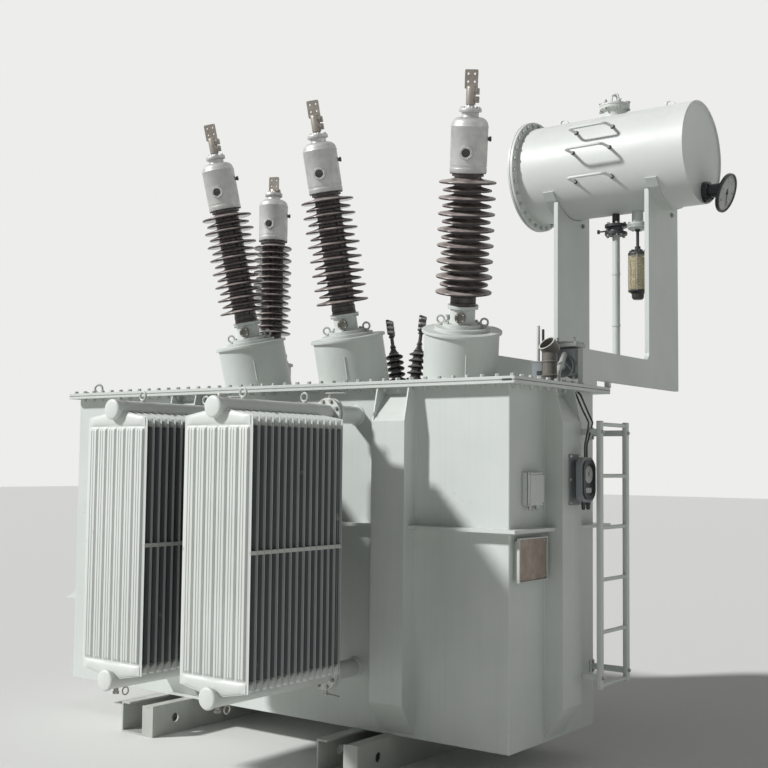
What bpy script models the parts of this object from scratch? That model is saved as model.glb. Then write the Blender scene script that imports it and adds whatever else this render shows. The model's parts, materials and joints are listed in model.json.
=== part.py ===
"""Oil-filled power transformer with finned radiators, inclined bushings and a conservator.

Metres, +Z up. +X runs along the tank towards the ladder end, -Y is the side of the
inclined bushings, and the whole stands on its two skid beams at z = 0.
"""

import math

import bmesh
import bpy
from mathutils import Matrix, Vector

# Clearances shared by all pieces
SEAT_GAP = 0.0003
CUT_OVERRUN = 0.02
SMOOTH_SHARE = 1 / 5

# Skid beams, which run across under the tank
SKID_HEIGHT = 0.20
SKID_WIDTH = 0.30
SKID_LENGTH = 1.74
SKID_WALL = 0.012
SKID_FLANGE = 0.075
SKID_END_PLATE = 0.105
SKID_END_INSET = 0.003
SKID_HOLE_SIDES = 12
SKID_SPACING = 1.69
SKID_SHIFT = 0.0625
SKID_HOLE_DIAMETER = 0.06
SKID_HOLE_INSET = 0.20

# Tank, its bolted rim and the cover plate
COVER_LENGTH = 3.845
COVER_WIDTH = 1.20
COVER_PLATE = 0.020
FLANGE_PLATE = 0.020
RIM_OVERHANG = 0.083
LEFT_OVERHANG = 0.030
WALL_HEIGHT = 2.055
TANK_CORNER_RADIUS = 0.010
COVER_CORNER_RADIUS = 0.015
CORNER_STEPS = 3
RIB_LEVEL = 1.22
RIB_DEPTH = 0.080
RIB_THICKNESS = 0.020
RIB_LEFT_INSET = 0.15

# Jacking lugs on the left end wall
JACK_LUG_LEVEL = 0.56
JACK_LUG_HEIGHT = 0.15
JACK_LUG_DEPTH = 0.17
JACK_LUG_WIDTH = 0.16
JACK_LUG_PLATE = 0.020
JACK_LUG_GUSSET = 0.014
JACK_LUG_INSET = 0.06

# Box stiffeners welded to the walls
STIFFENER_WIDTH = 0.24
STIFFENER_DEPTH = 0.12
STIFFENER_TOP_SLOPE = 0.20
STIFFENER_TOP_DROP = 0.035
STIFFENER_TOP_SETBACK = 0.045
STIFFENER_FOOT_SLOPE = 0.18
STIFFENER_FOOT_LIFT = 0.02
STIFFENER_SIDE_PLATE = 0.010
STIFFENER_SPACING = 1.775
STIFFENER_SHIFT = 0.1895

# Panel radiators on their header pipes
RADIATOR_PITCH = 0.807
RADIATOR_SHIFT = 0.3445
RADIATOR_STANDOFF = 0.438
PANEL_COUNT = 15
PANEL_PITCH = 0.0535
PANEL_WIDTH = 0.51
PANEL_THICKNESS = 0.022
PANEL_TAPER = 0.030
PANEL_INSET = 0.003
HEADER_DIAMETER = 0.108
HEADER_SPACING = 1.533
HEADER_LEVEL = 1.895
HEADER_SIDES = 12
HEADER_CAP_DIAMETER = 0.120
HEADER_CAP_PLATE = 0.020
HEADER_END = 0.020
HEADER_FLANGE_DIAMETER = 0.190
HEADER_FLANGE_PLATE = 0.050
HEADER_FLANGE_OFFSET = 0.24
HEADER_BOX_CORNER = 0.045
HEADER_BOX_EDGE = 0.098
FLUTE_COUNT = 7
FLUTE_DEPTH = 0.007
FLUTE_MARGIN = 0.022
FLUTE_GAP_SHARE = 0.34
FLUTE_SLOPE_SHARE = 0.12
FLUTE_END = 0.010
STRAP_HEIGHT = 0.022
STRAP_THICKNESS = 0.020

# Inclined bushings on their turrets
TURRET_DIAMETER = 0.45
TURRET_HEIGHT = 0.325
TURRET_SIDES = 16
NEUTRAL_TURRET_DIAMETER = 0.30
NEUTRAL_TURRET_HEIGHT = 0.24
NEUTRAL_PAD_DIAMETER = 0.26
LID_OVERHANG = 0.016
LID_PLATE = 0.018
LID_PAD_DIAMETER = 0.33
LID_PAD_PLATE = 0.020
NECK_FLANGE_DIAMETER = 0.235
NECK_FLANGE_PLATE = 0.022
NECK_DIAMETER = 0.150
NECK_HEIGHT = 0.130
NECK_TOP_DIAMETER = 0.185
NECK_TOP_PLATE = 0.018
PORT_DIAMETER = 0.060
PORT_REACH = 0.105
BUSHING_SIDES = 12
BUSHING_FOOT = 0.065
BUSHING_FOOT_DIAMETER = 0.155
PORCELAIN_LENGTH = 0.690
PORCELAIN_DIAMETER = 0.160
SHED_DIAMETER = 0.337
SMALL_SHED_DIAMETER = 0.290
NEUTRAL_SHED_DIAMETER = 0.285
NEUTRAL_SMALL_SHED_DIAMETER = 0.250
SHED_COUNT = 15
SHED_RISE_SHARE = 0.30
HEAD_DIAMETER = 0.216
HEAD_HEIGHT = 0.335
HEAD_SHOULDER = 0.050
HEAD_SHOULDER_STEPS = 3
HEAD_COLLAR_DIAMETER = 0.185
HEAD_COLLAR_HEIGHT = 0.022
HEAD_CAP_DIAMETER = 0.130
HEAD_CAP_HEIGHT = 0.050
STUD_DIAMETER = 0.044
STUD_HEIGHT = 0.108
CLAMP_WIDTH = 0.070
CLAMP_HEIGHT = 0.105
CLAMP_DEPTH = 0.060
NEUTRAL_STUD_HEIGHT = 0.020
NEUTRAL_CLAMP_HEIGHT = 0.030
TERMINAL_WIDTH = 0.075
TERMINAL_HEIGHT = 0.108
TERMINAL_PLATE = 0.016
GLASS_DIAMETER = 0.080
GLASS_STANDOFF = 0.012
GLASS_LEVEL = 0.135
GLASS_TURN = math.radians(26)
PHASE_SHIFT = 0.5505
PHASE_OFFSET = -0.271
PHASE_LEAN = math.radians(13.0)
PHASE_STEPS = {"a": -0.845, "b": -0.010, "c": 0.795}
PHASE_SPREADS = {"a": math.radians(-4.0), "b": math.radians(-1.6), "c": math.radians(10.8)}
NEUTRAL_SHIFT = -0.7035
NEUTRAL_OFFSET = 0.293

# Low-voltage bushings along the rear of the cover
LV_PITCH = 0.125
LV_SHIFT = 0.572
LV_OFFSET = 0.34
LV_LEAN = math.radians(-6.0)
LV_SPREADS = {"a": math.radians(-14.0), "b": math.radians(4.0), "c": math.radians(16.0)}
LV_SIDES = 10
LV_BASE_DIAMETER = 0.105
LV_BASE_HEIGHT = 0.070
LV_CORE_DIAMETER = 0.070
LV_SHED_DIAMETER = 0.125
LV_SHED_COUNT = 5
LV_PORCELAIN_LENGTH = 0.215
LV_STUD_DIAMETER = 0.036
LV_STUD_HEIGHT = 0.150
LV_FLAG_WIDTH = 0.070
LV_FLAG_HEIGHT = 0.110
LV_FLAG_PLATE = 0.016

# Conservator drum, behind and above the cover's right end
DRUM_DIAMETER = 0.710
DRUM_LENGTH = 1.310
DRUM_WALL = 0.010
DRUM_RISE = 1.664
DRUM_REACH = 0.840
DRUM_OVERHANG = 0.285
DRUM_SIDES = 32
DRUM_FLANGE_DIAMETER = 0.815
DRUM_FLANGE_PLATE = 0.022
DRUM_COVER_PLATE = 0.020
DRUM_END_PLATE = 0.012
DRUM_END_RIM = 0.010
STEP_WIDTH = 0.280
STEP_REACH = 0.130
STEP_ROD = 0.020
STEP_SIDES = 6
STEP_BEND = 0.030
STEP_ANGLES = (math.radians(33), math.radians(6), math.radians(-27))
STEP_SHIFT = -0.0105
DRUM_LUG_RADIUS = 0.045
DRUM_LUG_PLATE = 0.014
DRUM_LUG_HOLE_DIAMETER = 0.030
DRUM_LUG_SHIFTS = (-0.413, 0.420)

# Filler on top of the drum
FILLER_SHIFT = 0.0015
FILLER_NECK_DIAMETER = 0.150
FILLER_NECK_HEIGHT = 0.055
FILLER_LID_DIAMETER = 0.215
FILLER_LID_PLATE = 0.034
FILLER_DOME_DIAMETER = 0.100
FILLER_DOME_HEIGHT = 0.025
FILLER_RING_HEIGHT = 0.070
FILLER_RING_WIDTH = 0.070
FILLER_RING_ROD = 0.014
FILLER_SIDES = 16

# L-shaped brackets that carry the drum
BRACKET_SPACING = 0.696
BRACKET_FLANGE = 0.032
BRACKET_PLATE = 0.010
ARM_HEIGHT = 0.185
ARM_LIFT = 0.036
ARM_REACH = 0.390
POST_WIDTH = 0.496
POST_CORNER = 0.050
POST_CORNER_STEPS = 4
FOOT_END = 0.028
FOOT_NOTCH = 0.170
SADDLE_WIDTH = 0.085
SADDLE_PLATE = 0.012
SADDLE_FACETS = 5
SADDLE_OVERHANG_LEFT = -0.010
SADDLE_OVERHANG_RIGHT = 0.080

# Oil pipe from the cover through the gas relay to the drum
PIPE_DIAMETER = 0.054
PIPE_SIDES = 12
PIPE_SHIFT = 0.010
PIPE_LOW_RISE = 0.155
PIPE_SEAT_INSET = 0.100
PIPE_BEND = 0.080
PIPE_BEND_STEPS = 4
PIPE_SEAT_DIAMETER = 0.130
PIPE_SEAT_PLATE = 0.016
RELAY_REACH = 0.115
RELAY_LENGTH = 0.180
RELAY_FLANGE_DIAMETER = 0.150
RELAY_FLANGE_PLATE = 0.018
RELAY_BODY_WIDTH = 0.160
RELAY_BODY_HEIGHT = 0.185
RELAY_CAP_WIDTH = 0.185
RELAY_CAP_HEIGHT = 0.050
RELIEF_SHIFT = 0.085
RELIEF_INSET = 0.300
RELIEF_BASE_DIAMETER = 0.180
RELIEF_BASE_PLATE = 0.018
RELIEF_BODY_DIAMETER = 0.110
RELIEF_BODY_HEIGHT = 0.190
RELIEF_HOOD_DIAMETER = 0.115
RELIEF_HOOD_HEIGHT = 0.075
RELIEF_HOOD_RIM = 0.010
RELIEF_LEAN = math.radians(42)
RELIEF_SPREAD = math.radians(-18)
VALVE_DIAMETER = 0.160
VALVE_HEIGHT = 0.075
VALVE_DROP = 0.115
VALVE_LEVER_LENGTH = 0.120
VALVE_LEVER_PLATE = 0.014
VALVE_LEVER_WIDTH = 0.026

# Breather hanging from the drum
BREATHER_SHIFT = 0.176
BREATHER_PIPE_DIAMETER = 0.080
BREATHER_PIPE_LENGTH = 0.085
BREATHER_FLANGE_DIAMETER = 0.140
BREATHER_FLANGE_PLATE = 0.045
BREATHER_TUBE_DIAMETER = 0.022
BREATHER_TUBE_LENGTH = 0.145
BREATHER_CAP_DIAMETER = 0.140
BREATHER_CAP_HEIGHT = 0.055
BREATHER_GLASS_DIAMETER = 0.126
BREATHER_GLASS_HEIGHT = 0.235
BREATHER_CUP_DIAMETER = 0.085
BREATHER_CUP_HEIGHT = 0.065
BREATHER_SIDES = 12

# Dial gauge on the end plate of the drum
GAUGE_DIAMETER = 0.270
GAUGE_DEPTH = 0.045
GAUGE_RIM = 0.014
GAUGE_RECESS = 0.006
GAUGE_TILT = math.radians(20)
GAUGE_DROP = 0.265
GAUGE_SAG = 0.022
GAUGE_OFFSET = 0.060
GAUGE_REACH = 0.143
GAUGE_STEM_DIAMETER = 0.095
GAUGE_BOSS_DIAMETER = 0.140
GAUGE_BOSS_PLATE = 0.040
GAUGE_SIDES = 24

# Ladder on the right end wall
LADDER_WIDTH = 0.355
LADDER_OFFSET = 0.3085
LADDER_LIFT = 0.315
LADDER_RUNG_PITCH = 0.3065
LADDER_RUNG_COUNT = 6
LADDER_STANDOFF = 0.235
LADDER_STILE_WIDTH = 0.040
LADDER_STILE_THICKNESS = 0.030
LADDER_BRACKET_INSET = 0.045
LADDER_RUNG_DIAMETER = 0.024
LADDER_RUNG_SIDES = 8
LADDER_BRACKET_HEIGHT = 0.036
LADDER_BRACKET_THICKNESS = 0.018

# Plate holder and boxes on the right end wall
HOLDER_WIDTH = 0.330
HOLDER_HEIGHT = 0.250
HOLDER_DEPTH = 0.045
HOLDER_LIFT = 0.940
HOLDER_OFFSET = -0.320
HOLDER_RIM = 0.012
HOLDER_RECESS = 0.004
SMALL_BOX_WIDTH = 0.180
SMALL_BOX_HEIGHT = 0.190
SMALL_BOX_DEPTH = 0.045
SMALL_BOX_LIFT = 1.370
SMALL_BOX_OFFSET = -0.292
SMALL_BOX_RIM = 0.014
SMALL_BOX_RISE = 0.006
DIAL_BOX_WIDTH = 0.170
DIAL_BOX_HEIGHT = 0.265
DIAL_BOX_DEPTH = 0.045
DIAL_BOX_LIFT = 1.385
DIAL_BOX_OFFSET = 0.045
DIAL_BOX_CORNER = 0.055
DIAL_BACK_OFFSET = 0.020
DIAL_BACK_WIDTH = 0.130
DIAL_BACK_HEIGHT = 0.300
DIAL_BACK_PLATE = 0.008
DIAL_STANDOFF = 0.035
DIAL_STANDOFF_DIAMETER = 0.030
DIAL_STANDOFF_SPACING = 0.200
DIAL_STANDOFF_OFFSET = 0.038
DIAL_BEZEL_WIDTH = 0.150
DIAL_BEZEL_HEIGHT = 0.225
DIAL_BEZEL_RISE = 0.006
GLAND_DIAMETER = 0.030
GLAND_LENGTH = 0.045
GLAND_PITCH = 0.060

# Levels and planes that follow from the sizes above
TANK_BOTTOM = SKID_HEIGHT + SEAT_GAP
FLANGE_BOTTOM = TANK_BOTTOM + WALL_HEIGHT
TANK_TOP = FLANGE_BOTTOM + FLANGE_PLATE
COVER_BOTTOM = TANK_TOP + SEAT_GAP
COVER_TOP = COVER_BOTTOM + COVER_PLATE
TANK_WIDTH = COVER_WIDTH - 2 * RIM_OVERHANG
RIGHT_WALL = COVER_LENGTH / 2 - RIM_OVERHANG
LEFT_WALL = LEFT_OVERHANG - COVER_LENGTH / 2
TANK_LENGTH = RIGHT_WALL - LEFT_WALL
TANK_MIDDLE = (LEFT_WALL + RIGHT_WALL) / 2
SIDE_WALL = TANK_WIDTH / 2
BRACKET_FACE = COVER_LENGTH / 2
ARM_BOTTOM = COVER_TOP + ARM_LIFT
ARM_TOP = ARM_BOTTOM + ARM_HEIGHT
DRUM_RADIUS = DRUM_DIAMETER / 2
DRUM_LEVEL = COVER_TOP + DRUM_RISE
DRUM_AXIS_Y = COVER_WIDTH / 2 + DRUM_REACH
DRUM_MIDDLE = BRACKET_FACE + DRUM_OVERHANG - DRUM_LENGTH / 2
STACK_DEPTH = (PANEL_COUNT - 1) * PANEL_PITCH + PANEL_THICKNESS + 2 * PANEL_INSET


# Materials and objects

def make_material(name, colour, roughness, metallic=0.0):
    """A Principled material with one colour, as a linear RGB triple."""
    material = bpy.data.materials.new(name)
    material.use_nodes = True
    shader = material.node_tree.nodes["Principled BSDF"]
    shader.inputs["Base Color"].default_value = (*colour, 1.0)
    shader.inputs["Roughness"].default_value = roughness
    shader.inputs["Metallic"].default_value = metallic
    return material


def make_object(name, shape, material, smooth_share=0.0):
    """Turn a bmesh into a named object, hung on the root empty."""
    bmesh.ops.recalc_face_normals(shape, faces=shape.faces)
    mesh = bpy.data.meshes.new(name)
    shape.to_mesh(mesh)
    shape.free()
    mesh.materials.append(material)
    if smooth_share:
        mesh.shade_smooth()
        mesh.set_sharp_from_angle(angle=math.pi * smooth_share)
    obj = bpy.data.objects.new(name, mesh)
    bpy.context.scene.collection.objects.link(obj)
    return obj


def combine(operation, base, *others):
    """Join or cut bmeshes with the exact Boolean solver and return one bmesh."""
    target_mesh = bpy.data.meshes.new("boolean_base")
    bmesh.ops.recalc_face_normals(base, faces=base.faces)
    base.to_mesh(target_mesh)
    base.free()
    target = bpy.data.objects.new("boolean_base", target_mesh)
    bpy.context.scene.collection.objects.link(target)
    operands = []
    for other in others:
        bmesh.ops.recalc_face_normals(other, faces=other.faces)
        mesh = bpy.data.meshes.new("boolean_operand")
        other.to_mesh(mesh)
        other.free()
        operand = bpy.data.objects.new("boolean_operand", mesh)
        bpy.context.scene.collection.objects.link(operand)
        operands.append(operand)
        modifier = target.modifiers.new("combine", "BOOLEAN")
        modifier.operation = operation
        modifier.solver = "EXACT"
        modifier.object = operand
    graph = bpy.context.evaluated_depsgraph_get()
    evaluated = target.evaluated_get(graph)
    result = bmesh.new()
    result.from_mesh(evaluated.to_mesh())
    evaluated.to_mesh_clear()
    for obj in [target, *operands]:
        mesh = obj.data
        bpy.data.objects.remove(obj)
        bpy.data.meshes.remove(mesh)
    return result


def union(base, *others):
    """Weld solids into one."""
    return combine("UNION", base, *others)


def cut(base, *others):
    """Take the other solids out of the base."""
    return combine("DIFFERENCE", base, *others)


def merged(*shapes):
    """Put solids that stay apart into one bmesh, for use as one operand."""
    result = bmesh.new()
    for shape in shapes:
        mesh = bpy.data.meshes.new("merge")
        shape.to_mesh(mesh)
        shape.free()
        result.from_mesh(mesh)
        bpy.data.meshes.remove(mesh)
    return result


# Shapes

def box(size, centre):
    """A box of a size (x, y, z) about a centre."""
    shape = bmesh.new()
    placed = Matrix.Translation(centre) @ Matrix.Diagonal((*size, 1.0))
    bmesh.ops.create_cube(shape, size=1.0, matrix=placed)
    return shape


def prism(outline, thickness, to_world):
    """Extrude a 2-D outline (u, v) by a thickness w, then carry (u, v, w) into place."""
    shape = bmesh.new()
    low = [shape.verts.new((u, v, 0.0)) for u, v in outline]
    high = [shape.verts.new((u, v, thickness)) for u, v in outline]
    shape.faces.new(list(reversed(low)))
    shape.faces.new(high)
    count = len(outline)
    for index in range(count):
        after = (index + 1) % count
        shape.faces.new((low[index], low[after], high[after], high[index]))
    bmesh.ops.transform(shape, matrix=to_world, verts=shape.verts)
    return shape


def turned(profile, sides, to_world=Matrix.Identity(4)):
    """Turn a profile of (radius, height) points about Z; ends on the axis close it."""
    shape = bmesh.new()
    rings = []
    for radius, height in profile:
        if radius == 0:
            rings.append([shape.verts.new((0.0, 0.0, height))] * sides)
            continue
        angles = [2 * math.pi * step / sides for step in range(sides)]
        rings.append([shape.verts.new((radius * math.cos(a), radius * math.sin(a), height)) for a in angles])
    for lower, upper in zip(rings, rings[1:]):
        for step in range(sides):
            after = (step + 1) % sides
            corners = [lower[step], lower[after], upper[after], upper[step]]
            unique = list(dict.fromkeys(corners))
            if len(unique) > 2:
                shape.faces.new(unique)
    bmesh.ops.transform(shape, matrix=to_world, verts=shape.verts)
    return shape


def rod(diameter, length, sides, to_world):
    """A round bar that stands on the local origin."""
    radius = diameter / 2
    return turned([(0, 0), (radius, 0), (radius, length), (0, length)], sides, to_world)


def swept(points, diameter, sides):
    """A round bar along a path of points, mitred at its bends, with flat ends."""
    path = [Vector(point) for point in points]
    runs = [(end - start).normalized() for start, end in zip(path, path[1:])]
    side = runs[0].orthogonal().normalized()
    radius = diameter / 2
    shape = bmesh.new()
    rings = []
    for index, point in enumerate(path):
        before = runs[max(index - 1, 0)]
        after = runs[min(index, len(runs) - 1)]
        mitre = (before + after).normalized()
        up = before.cross(side)
        ring = []
        for step in range(sides):
            angle = 2 * math.pi * step / sides
            offset = radius * (math.cos(angle) * side + math.sin(angle) * up)
            slide = offset.dot(mitre) / before.dot(mitre)
            ring.append(shape.verts.new(point + offset - before * slide))
        rings.append(ring)
        side = before.rotation_difference(after) @ side
    for lower, upper in zip(rings, rings[1:]):
        for step in range(sides):
            after_step = (step + 1) % sides
            shape.faces.new((lower[step], lower[after_step], upper[after_step], upper[step]))
    shape.faces.new(list(reversed(rings[0])))
    shape.faces.new(rings[-1])
    return shape


def rounded_path(corners, radius, steps):
    """A path through corners, with each inner corner turned into an arc."""
    points = [Vector(corners[0])]
    for before, corner, after in zip(corners, corners[1:], corners[2:]):
        corner = Vector(corner)
        arrive = (corner - Vector(before)).normalized()
        leave = (Vector(after) - corner).normalized()
        half_turn = arrive.angle(leave) / 2
        inward = (leave - arrive).normalized()
        middle = corner + inward * (radius / math.cos(half_turn))
        for step in range(steps + 1):
            swing = (2 * step / steps - 1) * half_turn
            outward = -inward * math.cos(swing) + (arrive + leave).normalized() * math.sin(swing)
            points.append(middle + outward * radius)
    points.append(Vector(corners[-1]))
    return points


def at(x, y, z):
    """A move to a place."""
    return Matrix.Translation((x, y, z))


def plane_yz(x, y=0.0, z=0.0):
    """Carry an outline (u, v) to (y, z), and its thickness to +X."""
    return at(x, y, z) @ Matrix(((0, 0, 1, 0), (1, 0, 0, 0), (0, 1, 0, 0), (0, 0, 0, 1)))


def plane_xz(y, x=0.0, z=0.0):
    """Carry an outline (u, v) to (x, z), and its thickness to -Y."""
    return at(x, y, z) @ Matrix(((1, 0, 0, 0), (0, 0, -1, 0), (0, 1, 0, 0), (0, 0, 0, 1)))


def along_x(x, y, z):
    """Carry the local Z axis to +X."""
    return at(x, y, z) @ Matrix.Rotation(math.pi / 2, 4, "Y")


def along_y(x, y, z):
    """Carry the local Z axis to -Y."""
    return at(x, y, z) @ Matrix.Rotation(math.pi / 2, 4, "X")


def rectangle(width, height):
    """An outline about the middle."""
    u, v = width / 2, height / 2
    return [(-u, -v), (u, -v), (u, v), (-u, v)]


def rounded_rectangle(width, height, radius, steps):
    """An outline about the middle with round corners."""
    outline = []
    for quarter, (u_sign, v_sign) in enumerate(((1, 1), (-1, 1), (-1, -1), (1, -1))):
        middle_u = u_sign * (width / 2 - radius)
        middle_v = v_sign * (height / 2 - radius)
        for step in range(steps + 1):
            angle = math.pi / 2 * (quarter + step / steps)
            outline.append((middle_u + radius * math.cos(angle), middle_v + radius * math.sin(angle)))
    return outline


# Places on the tank walls: local +X points out of the wall and +Z stays up

def on_front(along, level=0.0):
    """A place on the front wall."""
    return at(along, -SIDE_WALL - SEAT_GAP, level) @ Matrix.Rotation(-math.pi / 2, 4, "Z")


def on_rear(along, level=0.0):
    """A place on the rear wall."""
    return at(along, SIDE_WALL + SEAT_GAP, level) @ Matrix.Rotation(math.pi / 2, 4, "Z")


def on_right(along, level=0.0):
    """A place on the right end wall."""
    return at(RIGHT_WALL + SEAT_GAP, along, level)


def on_left(along, level=0.0):
    """A place on the left end wall."""
    return at(LEFT_WALL - SEAT_GAP, along, level) @ Matrix.Rotation(math.pi, 4, "Z")


def wall_prism(outline, width, place):
    """Extrude an outline (outward, up) along the wall, about the place."""
    to_wall = Matrix(((1, 0, 0, 0), (0, 0, -1, width / 2), (0, 1, 0, 0), (0, 0, 0, 1)))
    return prism(outline, width, place @ to_wall)


def face_prism(outline, thickness, place, offset=0.0):
    """Extrude an outline (along, up) outwards from the wall."""
    to_face = Matrix(((0, 0, 1, offset), (1, 0, 0, 0), (0, 1, 0, 0), (0, 0, 0, 1)))
    return prism(outline, thickness, place @ to_face)


# Sub-parts

def skid_beam(name, x, paint):
    """Two channels toe to toe on one bottom plate, with a half end plate at each end."""
    half = SKID_WIDTH / 2
    inner = half - SKID_WALL
    toe = half - SKID_FLANGE
    under = SKID_HEIGHT - SKID_WALL
    section = [
        (-half, 0), (half, 0), (half, SKID_HEIGHT), (toe, SKID_HEIGHT), (toe, under), (inner, under),
        (inner, SKID_WALL), (-inner, SKID_WALL), (-inner, under), (-toe, under), (-toe, SKID_HEIGHT),
        (-half, SKID_HEIGHT),
    ]
    end = SKID_LENGTH / 2
    beam = prism(section, SKID_LENGTH, plane_xz(end, x))
    plate_size = (SKID_END_PLATE - SKID_WALL / 2, SKID_WALL, SKID_HEIGHT - SKID_WALL)
    plate_x = x + half - (SKID_END_PLATE + SKID_WALL / 2) / 2
    plate_y = end - SKID_END_INSET - SKID_WALL / 2
    plates = [box(plate_size, (plate_x, side * plate_y, SKID_HEIGHT / 2)) for side in (-1, 1)]
    holes = [
        rod(SKID_HOLE_DIAMETER, SKID_WIDTH + 2 * CUT_OVERRUN, SKID_HOLE_SIDES,
            along_x(x - half - CUT_OVERRUN, side * (end - SKID_HOLE_INSET), SKID_HEIGHT / 2))
        for side in (-1, 1)
    ]
    return make_object(name, cut(union(beam, merged(*plates)), merged(*holes)), paint)


def stiffener_places():
    """Each stiffener's name, place on its wall, and distance along the wall."""
    left = STIFFENER_SHIFT - STIFFENER_SPACING / 2
    right = STIFFENER_SHIFT + STIFFENER_SPACING / 2
    return [
        ("stiffener_front_left", on_front(left)),
        ("stiffener_front_right", on_front(right)),
        ("stiffener_rear_left", on_rear(left)),
        ("stiffener_rear_right", on_rear(right)),
        ("stiffener_end_left", on_left(0.0)),
        ("stiffener_end_right", on_right(0.0)),
    ]


def tank_body(paint):
    """The oil tank with the rim welded round its top, its waist rib and its jacking lugs."""
    outline = rounded_rectangle(TANK_LENGTH, TANK_WIDTH, TANK_CORNER_RADIUS, CORNER_STEPS)
    tank = prism(outline, WALL_HEIGHT + FLANGE_PLATE / 2, at(TANK_MIDDLE, 0, TANK_BOTTOM))
    rim_outline = rounded_rectangle(COVER_LENGTH, COVER_WIDTH, COVER_CORNER_RADIUS, CORNER_STEPS)
    rim = prism(rim_outline, FLANGE_PLATE, at(0, 0, FLANGE_BOTTOM))
    rib_middle = TANK_BOTTOM + RIB_LEVEL + RIB_THICKNESS / 2
    rib_start = LEFT_WALL + RIB_LEFT_INSET
    rib_end = RIGHT_WALL + RIB_DEPTH
    rib_size = (rib_end - rib_start, TANK_WIDTH + 2 * RIB_DEPTH, RIB_THICKNESS)
    rib = box(rib_size, ((rib_start + rib_end) / 2, 0, rib_middle))
    bay = rectangle(STIFFENER_WIDTH + 2 * SEAT_GAP, RIB_THICKNESS + 2 * CUT_OVERRUN)
    bays = [
        face_prism(bay, RIB_DEPTH + CUT_OVERRUN, place @ at(0, 0, rib_middle))
        for name, place in stiffener_places()
        if name != "stiffener_end_left"
    ]
    lug_offset = SIDE_WALL - JACK_LUG_INSET - JACK_LUG_WIDTH / 2
    lugs = [
        jacking_lug(on_left(side * lug_offset, TANK_BOTTOM + JACK_LUG_LEVEL))
        for side in (-1, 1)
    ]
    body = union(tank, rim, cut(rib, merged(*bays)), *lugs)
    return make_object("tank_body", body, paint)


def jacking_lug(place):
    """A plate under two triangular gussets, sunk a little into the wall that carries it."""
    root = -SEAT_GAP - JACK_LUG_GUSSET
    plate = wall_prism(
        [(root, 0), (JACK_LUG_DEPTH, 0), (JACK_LUG_DEPTH, JACK_LUG_PLATE), (root, JACK_LUG_PLATE)],
        JACK_LUG_WIDTH, place)
    low = JACK_LUG_PLATE / 2
    gusset = [(root, low), (JACK_LUG_DEPTH - JACK_LUG_PLATE, low), (root, JACK_LUG_HEIGHT)]
    spread = JACK_LUG_WIDTH / 2 - JACK_LUG_GUSSET
    gussets = [wall_prism(gusset, JACK_LUG_GUSSET, place @ at(0, side * spread, 0)) for side in (-1, 1)]
    return union(plate, *gussets)


def tank_cover(paint):
    """The bolted cover plate."""
    outline = rounded_rectangle(COVER_LENGTH, COVER_WIDTH, COVER_CORNER_RADIUS, CORNER_STEPS)
    return make_object("tank_cover", prism(outline, COVER_PLATE, at(0, 0, COVER_BOTTOM)), paint)


def stiffener(name, place, paint):
    """A closed box stiffener whose side plates run up to the rim past its sloped top."""
    foot = TANK_BOTTOM + STIFFENER_FOOT_LIFT
    top = FLANGE_BOTTOM - SEAT_GAP
    slope_start = top - STIFFENER_TOP_SLOPE
    full = [
        (0, foot), (STIFFENER_DEPTH, foot + STIFFENER_FOOT_SLOPE), (STIFFENER_DEPTH, slope_start),
        (STIFFENER_DEPTH - STIFFENER_TOP_SETBACK, top), (0, top),
    ]
    over = CUT_OVERRUN
    open_top = [
        (-over, top + over), (-over, top - STIFFENER_TOP_DROP), (0, top - STIFFENER_TOP_DROP),
        (STIFFENER_DEPTH, slope_start), (STIFFENER_DEPTH + over, slope_start),
        (STIFFENER_DEPTH + over, top + over),
    ]
    inner_width = STIFFENER_WIDTH - 2 * STIFFENER_SIDE_PLATE
    body = cut(wall_prism(full, STIFFENER_WIDTH, place), wall_prism(open_top, inner_width, place))
    return make_object(name, body, paint)


def panel_outline(width, thickness, taper):
    """The plan of one panel about its middle: full in the middle, closed in a seam at both edges."""
    half = width / 2
    shoulder = half - taper
    return [(0, -half), (thickness / 2, -shoulder), (thickness / 2, shoulder), (0, half),
            (-thickness / 2, shoulder), (-thickness / 2, -shoulder)]


def flutes(place, face, low, high):
    """The pressed flutes that stand proud of the outer panel."""
    width = PANEL_WIDTH - 2 * FLUTE_MARGIN
    pitch = width / FLUTE_COUNT
    foot = pitch * (1 - FLUTE_GAP_SHARE) / 2
    crest = foot - pitch * FLUTE_SLOPE_SHARE
    bars = []
    for index in range(FLUTE_COUNT):
        middle = (index + 1 / 2) * pitch - width / 2
        section = [(-FLUTE_DEPTH, middle - foot), (0, middle - foot), (FLUTE_DEPTH, middle - crest),
                   (FLUTE_DEPTH, middle + crest), (0, middle + foot), (-FLUTE_DEPTH, middle + foot)]
        bars.append(prism(section, high - low, place @ at(face, 0, low)))
    return merged(*bars)


def header_pipe(place, level, end):
    """One header pipe with its wall flange and its end cap."""
    pipe = HEADER_DIAMETER / 2
    flange = HEADER_FLANGE_DIAMETER / 2
    cap = HEADER_CAP_DIAMETER / 2
    flange_end = HEADER_FLANGE_OFFSET + HEADER_FLANGE_PLATE
    profile = [(0, 0), (pipe, 0), (pipe, HEADER_FLANGE_OFFSET), (flange, HEADER_FLANGE_OFFSET),
               (flange, flange_end), (pipe, flange_end), (pipe, end), (cap, end),
               (cap, end + HEADER_CAP_PLATE), (0, end + HEADER_CAP_PLATE)]
    return turned(profile, HEADER_SIDES, place @ along_x(0, 0, level))


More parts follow.
